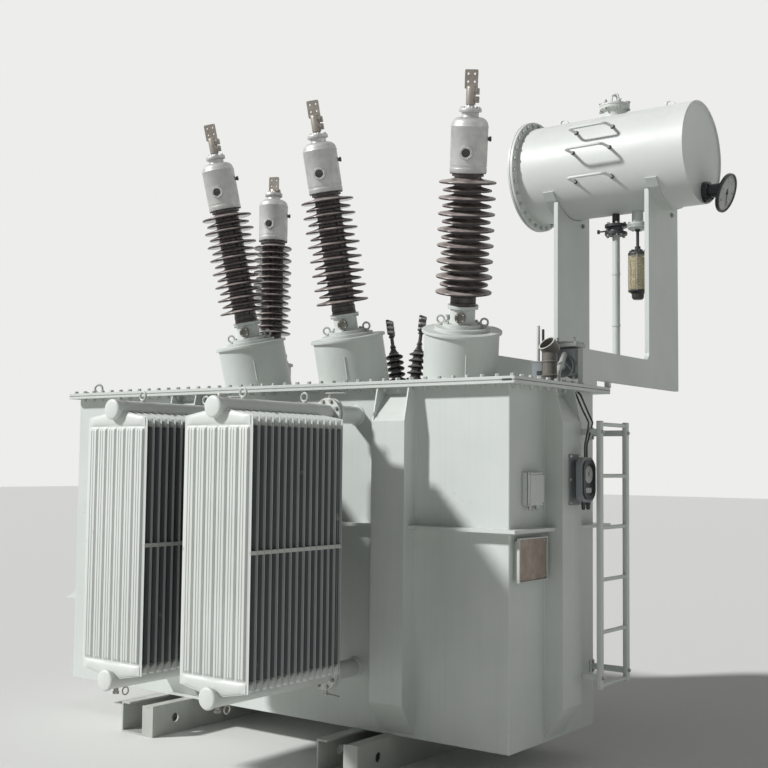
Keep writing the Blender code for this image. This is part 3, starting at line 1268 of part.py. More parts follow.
def main():
    """Build the whole transformer."""
    for obj in list(bpy.data.objects):
        bpy.data.objects.remove(obj)
    paint = make_material("grey_enamel", (0.56, 0.59, 0.56), 0.45)
    steel = make_material("dark_steel", (0.16, 0.17, 0.18), 0.55)
    glaze = make_material("brown_porcelain", (0.055, 0.026, 0.020), 0.22)
    metal = make_material("cast_aluminium", (0.55, 0.56, 0.57), 0.40, 0.9)
    glass = make_material("dryer_glass", (0.42, 0.38, 0.24), 0.15)
    plate = make_material("weathered_plate", (0.26, 0.20, 0.16), 0.45, 0.6)
    pieces = [
        tank_body(paint),
        tank_cover(paint),
        skid_beam("skid_beam_left", SKID_SHIFT - SKID_SPACING / 2, paint),
        skid_beam("skid_beam_right", SKID_SHIFT + SKID_SPACING / 2, paint),
    ]
    pieces += [stiffener(name, place, paint) for name, place in stiffener_places()]
    for side, on_wall in (("front", on_front), ("rear", on_rear)):
        for end, sign in (("left", -1), ("right", 1)):
            along = RADIATOR_SHIFT + sign * RADIATOR_PITCH / 2
            pieces.append(radiator(f"radiator_{side}_{end}", on_wall(along), paint))
    finishes = (paint, glaze, metal)
    phase_sizes = (
        (TURRET_DIAMETER, TURRET_HEIGHT, LID_PAD_DIAMETER),
        (SHED_DIAMETER, SMALL_SHED_DIAMETER),
        (STUD_HEIGHT, CLAMP_HEIGHT),
    )
    for label, spread in PHASE_SPREADS.items():
        frame = leaning(PHASE_SHIFT + PHASE_STEPS[label], PHASE_OFFSET, PHASE_LEAN, spread)
        pieces += tall_bushing(label, frame, phase_sizes, finishes)
    neutral_sizes = (
        (NEUTRAL_TURRET_DIAMETER, NEUTRAL_TURRET_HEIGHT, NEUTRAL_PAD_DIAMETER),
        (NEUTRAL_SHED_DIAMETER, NEUTRAL_SMALL_SHED_DIAMETER),
        (NEUTRAL_STUD_HEIGHT, NEUTRAL_CLAMP_HEIGHT),
    )
    pieces += tall_bushing("n", leaning(NEUTRAL_SHIFT, NEUTRAL_OFFSET, 0.0, 0.0), neutral_sizes, finishes)
    for index, (label, spread) in enumerate(LV_SPREADS.items()):
        frame = leaning(LV_SHIFT + (index - 1) * LV_PITCH, LV_OFFSET, LV_LEAN, spread)
        pieces.append(lv_bushing(f"lv_bushing_{label}", frame, glaze))
    pieces.append(conservator_shell(paint))
    pieces += conservator_ends(paint)
    pieces.append(filler_cap(paint))
    pieces.append(bracket("bracket_left", BRACKET_FACE - BRACKET_SPACING, SADDLE_OVERHANG_LEFT, paint))
    pieces.append(bracket("bracket_right", BRACKET_FACE, SADDLE_OVERHANG_RIGHT, paint))
    pieces += pipework(paint, steel)
    pieces.append(relief_valve(paint))
    pieces += breather(paint, glass)
    pieces.append(oil_gauge(steel))
    pieces.append(ladder(paint))
    pieces.append(plate_holder(plate))
    pieces.append(small_box(paint))
    pieces.append(dial_box(paint))
    stand_on_origin(pieces)


if __name__ == "__main__":
    main()
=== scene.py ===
"""Dresses an oil-filled power transformer: radiators, bushings, conservator and fittings.

All lengths are metres. Places are given from the middle of the cover plate, at floor level:
+X runs along the tank to the ladder end, -Y is the side of the leaning bushings, +Z is up.
"""

import json
import logging
import math
from dataclasses import dataclass
from enum import Enum
from typing import Any, Callable, Optional, Sequence, Union

import bmesh
import bpy
from mathutils import Matrix, Vector, noise

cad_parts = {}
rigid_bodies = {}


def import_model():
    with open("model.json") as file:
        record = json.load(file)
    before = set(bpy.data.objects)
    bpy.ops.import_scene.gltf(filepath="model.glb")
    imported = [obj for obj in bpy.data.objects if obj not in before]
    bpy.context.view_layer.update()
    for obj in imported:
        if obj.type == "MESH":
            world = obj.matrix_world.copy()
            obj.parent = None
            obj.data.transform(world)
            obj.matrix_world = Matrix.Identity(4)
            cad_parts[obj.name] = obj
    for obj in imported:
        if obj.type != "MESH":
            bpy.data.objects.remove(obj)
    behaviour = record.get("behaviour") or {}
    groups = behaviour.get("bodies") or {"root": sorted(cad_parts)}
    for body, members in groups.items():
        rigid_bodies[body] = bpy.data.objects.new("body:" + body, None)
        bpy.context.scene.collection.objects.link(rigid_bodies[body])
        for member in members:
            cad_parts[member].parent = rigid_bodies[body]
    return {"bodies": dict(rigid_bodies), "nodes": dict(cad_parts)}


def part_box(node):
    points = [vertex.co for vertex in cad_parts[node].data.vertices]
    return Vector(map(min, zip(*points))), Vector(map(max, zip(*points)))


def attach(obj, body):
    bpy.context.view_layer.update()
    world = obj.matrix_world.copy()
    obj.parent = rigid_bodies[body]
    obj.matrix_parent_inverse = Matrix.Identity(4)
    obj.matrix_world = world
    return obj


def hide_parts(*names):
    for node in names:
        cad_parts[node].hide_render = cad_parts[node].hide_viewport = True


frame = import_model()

FRAME_OBJECTS = {*frame["nodes"].values(), *frame["bodies"].values()}
for stray in [o for o in bpy.data.objects if o.type in {"MESH", "LIGHT", "CAMERA"}]:
    if stray not in FRAME_OBJECTS:
        bpy.data.objects.remove(stray)
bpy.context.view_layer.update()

LOG = logging.getLogger("transformer")
Pair = tuple[float, float]
Triple = tuple[float, float, float]
Socket = bpy.types.NodeSocket
Colour = Union[Socket, str]
IDENTITY = Matrix.Identity(4)
# The point attribute that marks where shade between radiator panels is painted
PAINTED_SHADE_ATTRIBUTE = "soot"
COVER_LOW, COVER_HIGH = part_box("tank_cover")
COVER_REACH = 1.9225
ORIGIN = Vector((COVER_HIGH.x - COVER_REACH, (COVER_LOW.y + COVER_HIGH.y) / 2, 0.0))
COVER_TOP = COVER_HIGH.z
RIM_PLATE = 0.0203
RIM_BOTTOM = COVER_LOW.z - RIM_PLATE
TANK_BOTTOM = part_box("tank_body")[0].z
RIGHT_WALL = 1.8395
LEFT_WALL = -1.8925
SIDE_WALL = 0.517
GAP = 0.0003
UP = Vector((0, 0, 1))
CORNERS = ((-1, -1), (-1, 1), (1, -1), (1, 1))
ARM_FACES = (1.2265, COVER_REACH)
DRUM_Y = 1.44
DRUM_LEVEL = COVER_TOP + 1.664
DRUM_RADIUS = 0.355
RADIATOR_MIDDLE = 0.3445
RADIATOR_HALF_PITCH = 0.4035
BUSHING_MIDDLE = 0.5505
BUSHING_Y = -0.271
BUSHING_LEAN = 13.0
LOW_VOLTAGE_MIDDLE = 0.572
LOW_VOLTAGE_Y = 0.34
LOW_VOLTAGE_PITCH = 0.125
LOW_VOLTAGE_LEAN = -6.0


# Placing

def at(x: float, y: float, z: float) -> Matrix:
    """A move by x, y and z."""
    return Matrix.Translation((x, y, z))


def above(height: float) -> Matrix:
    """A move along the Z axis."""
    return at(0, 0, height)


def turn(degrees: float, axis: str) -> Matrix:
    """A turn about one axis, in degrees."""
    return Matrix.Rotation(math.radians(degrees), 4, axis)


def spot(x: float, y: float, z: float) -> Matrix:
    """A place given from the middle of the cover, at floor level."""
    return Matrix.Translation(ORIGIN + Vector((x, y, z)))


def facing_front(place: Matrix) -> Matrix:
    """The place with its Z axis turned to -Y."""
    return place @ turn(90, "X")


def ring_of(count: int, radius: float, start: float = 0.0) -> list[Matrix]:
    """Places evenly round the local Z axis, each turned to face outwards along its X.

    Args:
        count: number of places.
        radius: distance from the axis.
        start: angle of the first place, in degrees.

    Returns:
        One matrix for each place.
    """
    return [turn(start + 360 * step / count, "Z") @ at(radius, 0, 0) for step in range(count)]


def smooth(value: float) -> float:
    """An S-shaped step from 0 to 1."""
    held = min(max(value, 0.0), 1.0)
    return held * held * (3 - 2 * held)


# Node helpers

def linear(code: str) -> tuple[float, float, float, float]:
    """Turn an sRGB hex colour into linear RGBA.

    Args:
        code: the colour as "#RRGGBB".

    Returns:
        Linear red, green, blue and an alpha of 1.
    """
    parts = [int(code[start:start + 2], 16) / 255 for start in (1, 3, 5)]
    red, green, blue = [p / 12.92 if p <= 0.04045 else ((p + 0.055) / 1.055) ** 2.4 for p in parts]
    return red, green, blue, 1.0


def per_metre(millimetres: float) -> float:
    """The texture scale at which one pattern cell has this size."""
    return 1000.0 / millimetres


def add_node(tree: bpy.types.NodeTree, kind: str, settings: Optional[dict[Any, Any]] = None,
             links: Optional[dict[Any, bpy.types.NodeSocket]] = None) -> bpy.types.Node:
    """Add a shader node with its settings and links.

    Args:
        tree: the node tree that gets the node.
        kind: the node's type name.
        settings: lower-case names are properties, "stops" fills a colour ramp, and
            capitalised names or numbers are input values.
        links: output sockets keyed by the input they feed.

    Returns:
        The new node.
    """
    node = tree.nodes.new(kind)
    for key, value in (settings or {}).items():
        if key == "stops":
            ramp = node.color_ramp
            while len(ramp.elements) < len(value):
                ramp.elements.new(0.5)
            for element, (place, colour) in zip(ramp.elements, value):
                element.position = place
                element.color = colour
        elif isinstance(key, int) or key[0].isupper():
            node.inputs[key].default_value = value
        else:
            setattr(node, key, value)
    for key, source in (links or {}).items():
        tree.links.new(source, node.inputs[key])
    return node


# Finishes

class Slot(Enum):
    """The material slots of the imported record."""

    ENAMEL = "grey_enamel"
    PORCELAIN = "brown_porcelain"
    ALUMINIUM = "cast_aluminium"
    DARK = "dark_steel"
    GLASS = "dryer_glass"
    PLATE = "weathered_plate"


class Skin:
    """One material's node tree, with the patterns that the finishes share."""

    def __init__(self, material: bpy.types.Material) -> None:
        """Take over the tree and its surface shader."""
        self.tree = material.node_tree
        self.inputs = self.tree.nodes["Principled BSDF"].inputs

    def spots(self, size: float, stretch: Triple = (1, 1, 1), detail: float = 3.0,
              roughness: float = 0.55) -> Socket:
        """A noise of a real size over the piece.

        Args:
            size: the size of one patch, in millimetres.
            stretch: how much longer the patches are along x, y and z.
            detail: octaves of the noise.
            roughness: how strong the finer octaves are.

        Returns:
            The noise's value socket.
        """
        shape = add_node(self.tree, "ShaderNodeMapping", {"Scale": tuple(1 / s for s in stretch)},
                         {"Vector": self.where()})
        made = add_node(self.tree, "ShaderNodeTexNoise",
                        {"Scale": per_metre(size), "Detail": detail, "Roughness": roughness},
                        {"Vector": shape.outputs[0]})
        return made.outputs[0]

    def where(self) -> Socket:
        """The place on the piece, in metres."""
        return add_node(self.tree, "ShaderNodeTexCoord").outputs["Object"]

    def mask(self, source: Socket, low: float, high: float, top: float = 1.0) -> Socket:
        """Turn a value into a mask that rises from 0 at low to top at high."""
        limits = {"From Min": low, "From Max": high, "To Max": top}
        return add_node(self.tree, "ShaderNodeMapRange", limits, {"Value": source}).outputs[0]

    def times(self, first: Socket, second: Socket) -> Socket:
        """The product of two values."""
        return add_node(self.tree, "ShaderNodeMath", {"operation": "MULTIPLY"},
                        {0: first, 1: second}).outputs[0]

    def blend(self, share: Socket, under: Colour, over: Colour) -> Socket:
        """Lay one colour over another by a share.

        Args:
            share: how much of the upper colour shows.
            under: the lower colour, as a socket or a hex code.
            over: the upper colour, as a socket or a hex code.

        Returns:
            The mixed colour's socket.
        """
        settings: dict[Any, Any] = {"data_type": "RGBA"}
        links = {0: share}
        for key, colour in ((6, under), (7, over)):
            if isinstance(colour, str):
                settings[key] = linear(colour)
            else:
                links[key] = colour
        return add_node(self.tree, "ShaderNodeMix", settings, links).outputs[2]

    def facing_up(self, low: float = 0.35, high: float = 0.9) -> Socket:
        """A mask of the surfaces that look up, where dust settles."""
        geometry = add_node(self.tree, "ShaderNodeNewGeometry")
        parts = add_node(self.tree, "ShaderNodeSeparateXYZ", {}, {0: geometry.outputs["Normal"]})
        return self.mask(parts.outputs[2], low, high)

    def colour(self, source: Socket) -> None:
        """Give the surface its colour."""
        self.tree.links.new(source, self.inputs["Base Color"])

    def rough(self, source: Socket, low: float, high: float) -> None:
        """Let the roughness run from low to high with a value."""
        made = add_node(self.tree, "ShaderNodeMapRange", {"To Min": low, "To Max": high}, {"Value": source})
        self.tree.links.new(made.outputs[0], self.inputs["Roughness"])

    def even(self, **values: float) -> None:
        """Set inputs that are the same all over; an underscore stands for a space."""
        for name, value in values.items():
            self.inputs[name.replace("_", " ")].default_value = value

    def bump(self, height: Socket, strength: float, distance: float, soft_edge: float = 0.0) -> None:
        """Give the surface a fine relief, and round its edges where asked.

        Args:
            height: the relief's height.
            strength: how strong the relief is.
            distance: the relief's height in metres.
            soft_edge: the radius of the rounded edges in metres, or 0 for none.
        """
        links = {"Height": height}
        if soft_edge:
            edge = add_node(self.tree, "ShaderNodeBevel", {"samples": 4, "Radius": soft_edge})
            links["Normal"] = edge.outputs[0]
        made = add_node(self.tree, "ShaderNodeBump", {"Strength": strength, "Distance": distance}, links)
        self.tree.links.new(made.outputs[0], self.inputs["Normal"])


@dataclass(frozen=True)
class Finish:
    """A finish with a name, made into a material the first time it is asked for."""

    name: str
    slot: Slot = Slot.DARK

    def material(self) -> bpy.types.Material:
        """The material of this finish, built once."""
        made = bpy.data.materials.get(self.name)
        if made is None:
            made = bpy.data.materials.new(self.name)
            made.use_nodes = True
            self.dress(Skin(made))
        return made

    def dress(self, skin: Skin) -> None:
        """Fill the node tree; each finish has its own way."""
        raise NotImplementedError


@dataclass(frozen=True)
class Enamel(Finish):
    """Sprayed outdoor enamel on steel: chalky grey-green film, dust, rain streaks and rust, with painted
    shade between radiator panels where asked.
    """

    slot: Slot = Slot.ENAMEL
    colour: str = "#CDD2CE"
    faded: str = "#C2C8C3"
    dust: str = "#AFA899"
    streak: str = "#8E9189"
    rust: str = "#7B4B2E"
    # Colour of the painted shade between radiator panels
    soot: str = "#454D52"
    rust_share: float = 0.3
    streak_share: float = 0.07
    soft_edge: float = 0.004
    # How strongly the painted shade between radiator panels shows; 0 for none
    painted_shade_share: float = 0.0

    def dress(self, skin: Skin) -> None:
        """Weather the film: it fades in patches, holds dust on top and runs with rain."""
        colour = skin.blend(skin.mask(skin.spots(700, detail=4), 0.35, 0.7), self.colour, self.faded)
        # Rain draws narrow runs down the walls, about 25 mm apart and a metre long
        runs = skin.mask(skin.spots(25, (1, 1, 40), 2), 0.5, 0.78, self.streak_share)
        colour = skin.blend(runs, colour, self.streak)
        settled = skin.times(skin.facing_up(), skin.mask(skin.spots(90), 0.35, 0.8, 0.4))
        colour = skin.blend(settled, colour, self.dust)
        # Rust breaks out in spots of 15 to 40 mm inside larger damp patches
        damp = skin.mask(skin.spots(420, detail=2), 0.52, 0.68)
        pits = skin.mask(skin.spots(28, detail=5, roughness=0.7), 0.63, 0.7, self.rust_share)
        colour = skin.blend(skin.times(damp, pits), colour, self.rust)
        if self.painted_shade_share > 0:
            # Painted shade between radiator panels: a darker tone where a panel faces the next one, varied in
            # 120 mm patches
            held = add_node(skin.tree, "ShaderNodeAttribute", {"attribute_name": PAINTED_SHADE_ATTRIBUTE})
            film = skin.mask(skin.spots(120), 0.0, 0.3, self.painted_shade_share)
            colour = skin.blend(skin.times(held.outputs["Fac"], film), colour, self.soot)
        skin.colour(colour)
        skin.rough(skin.spots(160), 0.34, 0.56)
        # Orange peel of sprayed paint is 2 to 5 mm; it is drawn at 14 mm so that it shows
        skin.bump(skin.spots(14, detail=2), 0.12, 0.0012, self.soft_edge)


@dataclass(frozen=True)
class GlazedPorcelain(Finish):
    """Brown glaze fired on porcelain: deep gloss below, a dull film of dust on each shed."""

    slot: Slot = Slot.PORCELAIN
    colour: str = "#2A2223"
    warm: str = "#3D302E"
    dust: str = "#B3A8A2"

    def dress(self, skin: Skin) -> None:
        """Pool the glaze, then dust whatever looks up."""
        pooled = skin.mask(skin.spots(45, (1, 1, 2)), 0.35, 0.75)
        film = skin.times(skin.facing_up(0.0, 0.6), skin.mask(skin.spots(60, detail=5), 0.15, 0.6, 0.85))
        skin.colour(skin.blend(film, skin.blend(pooled, self.colour, self.warm), self.dust))
        skin.rough(film, 0.14, 0.62)
        skin.even(IOR=1.54)
        skin.bump(skin.spots(30, detail=1), 0.08, 0.001)


@dataclass(frozen=True)
class CastMetal(Finish):
    """A sand-cast metal: fine grain, darker in the hollows, dull where weathered."""

    colour: str = "#C6C6C4"
    tarnish: str = "#AFAFAD"
    dust: str = "#9C968B"
    metallic: float = 0.4
    grain: float = 9.0

    def dress(self, skin: Skin) -> None:
        """Mottle the skin and give it the sand's grain, drawn coarser than its 1 to 2 mm to show."""
        mottle = skin.mask(skin.spots(70, detail=5, roughness=0.65), 0.35, 0.7)
        dusty = skin.times(skin.facing_up(0.5, 0.95), skin.mask(skin.spots(50), 0.3, 0.7, 0.4))
        skin.colour(skin.blend(dusty, skin.blend(mottle, self.colour, self.tarnish), self.dust))
        skin.even(Metallic=self.metallic)
        skin.rough(mottle, 0.34, 0.55)
        skin.bump(skin.spots(self.grain, detail=3), 0.22, 0.0008, 0.002)


@dataclass(frozen=True)
class ZincSteel(Finish):
    """Zinc-plated steel of bolts and nuts: pale metal with white bloom and rust at the edges."""

    colour: str = "#B9B7AF"
    bloom: str = "#8F8E88"
    rust: str = "#86725F"

    def dress(self, skin: Skin) -> None:
        """Give each bolt its own mix of bloom and rust."""
        bloom = skin.mask(skin.spots(40), 0.3, 0.7)
        rusted = skin.mask(skin.spots(130, detail=4), 0.58, 0.68, 0.35)
        skin.colour(skin.blend(rusted, skin.blend(bloom, self.colour, self.bloom), self.rust))
        skin.even(Metallic=0.8)
        skin.rough(bloom, 0.3, 0.6)
        skin.bump(skin.spots(6, detail=2), 0.15, 0.0005)


@dataclass(frozen=True)
class SightGlass(Finish):
    """Toughened glass over dark oil: black depth and a clean shine."""

    colour: str = "#15191B"
    edge: str = "#3A2C1C"

    def dress(self, skin: Skin) -> None:
        """Show the oil's amber where the light comes through."""
        amber = skin.mask(skin.spots(35, detail=2), 0.4, 0.8, 0.6)
        skin.colour(skin.blend(amber, self.colour, self.edge))
        skin.rough(skin.spots(20), 0.04, 0.2)
        skin.even(Coat_Weight=0.6, Coat_Roughness=0.04)


@dataclass(frozen=True)
class PlainCoat(Finish):
    """A printed, moulded or pressed surface with one worn colour: dial card, rubber or cork."""

    colour: str = "#D8D6CB"
    worn: str = "#B9B5A6"
    patch: float = 30.0
    roughness: float = 0.55
    relief: float = 0.1

    def dress(self, skin: Skin) -> None:
        """Stain the surface in patches of a real size and give it a fine relief."""
        patches = skin.spots(self.patch, detail=5, roughness=0.65)
        skin.colour(skin.blend(skin.mask(patches, 0.35, 0.75), self.colour, self.worn))
        skin.rough(patches, self.roughness - 0.1, self.roughness + 0.12)
        skin.bump(skin.spots(self.patch / 5, detail=2), self.relief, 0.0008)


@dataclass(frozen=True)
class ClearGlass(Finish):
    """Pressed glass of the dryer's jar: clear, a little amber, dusty outside."""

    slot: Slot = Slot.GLASS
    colour: str = "#F3F0E2"
    dust: str = "#B7AE93"

    def dress(self, skin: Skin) -> None:
        """Let the beads show through a thin film of dust."""
        film = skin.mask(skin.spots(50, (1, 1, 3), 4), 0.4, 0.8, 0.3)
        skin.colour(skin.blend(film, self.colour, self.dust))
        skin.rough(film, 0.03, 0.35)
        skin.even(Transmission_Weight=0.9, IOR=1.47)


@dataclass(frozen=True)
class DryingBeads(Finish):
    """Drying beads packed in the jar: small rounded grains from straw to amber."""

    slot: Slot = Slot.GLASS
    tones: tuple[str, ...] = ("#C6B684", "#DDD3AE", "#F0EBD4")
    gap: str = "#8A7A52"

    def dress(self, skin: Skin) -> None:
        """Colour each bead of about 5 mm, drawn at 9 mm so that it shows."""
        cells = add_node(skin.tree, "ShaderNodeTexVoronoi", {"Scale": per_metre(9)}, {"Vector": skin.where()})
        parts = add_node(skin.tree, "ShaderNodeSeparateColor", {}, {0: cells.outputs["Color"]})
        stops = [(index / 2, linear(tone)) for index, tone in enumerate(self.tones)]
        ramp = add_node(skin.tree, "ShaderNodeValToRGB", {"stops": stops}, {0: parts.outputs[0]})
        gaps = skin.mask(cells.outputs["Distance"], 0.35, 0.62, 0.7)
        skin.colour(skin.blend(gaps, ramp.outputs[0], self.gap))
        skin.even(Roughness=0.35)
        dome = add_node(skin.tree, "ShaderNodeMath", {"operation": "SUBTRACT", 0: 1.0},
                        {1: cells.outputs["Distance"]})
        skin.bump(dome.outputs[0], 0.6, 0.002)


ENAMEL = Enamel("sprayed_enamel")
# The panels carry painted shade in the gaps between them
PANEL_ENAMEL = Enamel("flow_coated_panel_enamel", colour="#D4D8D4", faded="#CBD0CB", rust_share=0.18,
                      streak_share=0.06, soft_edge=0.0, painted_shade_share=0.85)
DRUM_ENAMEL = Enamel("fresh_sprayed_enamel", colour="#DADDDA", faded="#D0D4D0", rust_share=0.1,
                     streak_share=0.02)
FITTING_ENAMEL = Enamel("brushed_enamel", colour="#C4C8C3", faded="#ACB1AB", rust_share=0.55, soft_edge=0.0)
SKID_ENAMEL = Enamel("grimy_enamel", colour="#B9BDB8", faded="#A3A69F", rust_share=0.75, streak_share=0.3)
RELIEF_ENAMEL = Enamel("aged_olive_enamel", colour="#76726B", faded="#5A5650", rust_share=0.5, soft_edge=0.0)
INSTRUMENT_ENAMEL = Enamel("dark_grey_instrument_enamel", colour="#868C8F", faded="#73797C", rust_share=0.2,
                           soft_edge=0.0)
GLAZE = GlazedPorcelain("brown_glazed_porcelain")
DARK_GLAZE = GlazedPorcelain("near_black_glazed_porcelain", colour="#1C1A1D", warm="#2A2527", dust="#75706F")
HEAD_METAL = CastMetal("silver_painted_cast_aluminium", Slot.ALUMINIUM)
DARK_METAL = CastMetal("black_painted_cast_iron", colour="#3A3E41", tarnish="#2A2D2F", metallic=0.2)
CEMENT_METAL = CastMetal("dark_cemented_fitting", colour="#54504E", tarnish="#393636", metallic=0.3)
TERMINAL_METAL = CastMetal("tinned_copper", Slot.ALUMINIUM, "#A29D95", "#807A73", metallic=0.6, grain=14)
PLATE_METAL = CastMetal("dull_copper_sheet", Slot.PLATE, "#A3948A", "#897A70", metallic=0.35, grain=20)
ZINC = ZincSteel("zinc_plated_steel")
OIL_GLASS = SightGlass("sight_glass")
# The dial cards' light grey is painted shade over a pale card; the darker patches are stains
SHADE_GREY_DIAL_CARD = PlainCoat("dial_card", Slot.PLATE, "#B2B4B2", "#9C9E9B", 40, 0.5, 0.04)
DIAL_INK = PlainCoat("dial_ink", Slot.DARK, "#1B1C1E", "#2A2B2D", 15, 0.5, 0.04)
RUBBER = PlainCoat("black_rubber", Slot.DARK, "#222426", "#34373A", 25, 0.6, 0.15)
CORK = PlainCoat("painted_over_cork", Slot.DARK, "#8C8C84", "#6B675E", 40, 0.75, 0.3)
JAR_GLASS = ClearGlass("pressed_glass")
BEADS = DryingBeads("drying_beads")


# Shapes

def round_outline(width: float, height: float, radius: float, steps: int = 4) -> list[Pair]:
    """A rectangle about the middle with round corners.

    Args:
        width: size along the first axis.
        height: size along the second axis.
        radius: radius of the corners.
        steps: facets of each corner.

    Returns:
        The outline's points, counter-clockwise.
    """
    points = []
    for quarter, (across, up) in enumerate(((1, 1), (-1, 1), (-1, -1), (1, -1))):
        for step in range(steps + 1):
            angle = math.pi / 2 * (quarter + step / steps)
            points.append((across * (width / 2 - radius) + radius * math.cos(angle),
                           up * (height / 2 - radius) + radius * math.sin(angle)))
    return points


def circle(radius: float, sides: int) -> list[Pair]:
    """The points of a circle about the middle, counter-clockwise."""
    angles = [2 * math.pi * step / sides for step in range(sides)]
    return [(radius * math.cos(angle), radius * math.sin(angle)) for angle in angles]


def disc_outline(diameter: float, sides: int, centre: Pair) -> list[Pair]:
    """A round outline about a centre."""
    return [(centre[0] + u, centre[1] + v) for u, v in circle(diameter / 2, sides)]


def onto(floor: float, point: Vector, axis: Vector) -> Vector:
    """A point moved along an axis onto a level."""
    return point + axis * ((floor - point.z) / axis.z)


def shrunk(outline: Sequence[Pair], by: float) -> list[Pair]:
    """A convex outline moved in by a distance."""
    wide = max(abs(u) for u, _ in outline)
    high = max(abs(v) for _, v in outline)
    return [(u * (1 - by / wide), v * (1 - by / high)) for u, v in outline]


def curved_path(corners: Sequence[Triple], radius: float, steps: int = 5) -> list[Vector]:
    """A path through corners with each inner corner turned into an arc.

    Args:
        corners: the corner points.
        radius: radius of the bends.
        steps: facets of each bend.

    Returns:
        The points of the path.
    """
    points = [Vector(corners[0])]
    for before, corner, after in zip(corners, corners[1:], corners[2:]):
        middle = Vector(corner)
        arrive = (middle - Vector(before)).normalized()
        leave = (Vector(after) - middle).normalized()
        half = arrive.angle(leave) / 2
        inward = (leave - arrive).normalized()
        centre = middle + inward * (radius / math.cos(half))
        for step in range(steps + 1):
            swing = (2 * step / steps - 1) * half
            out = -inward * math.cos(swing) + (arrive + leave).normalized() * math.sin(swing)
            points.append(centre + out * radius)
    points.append(Vector(corners[-1]))
    return points


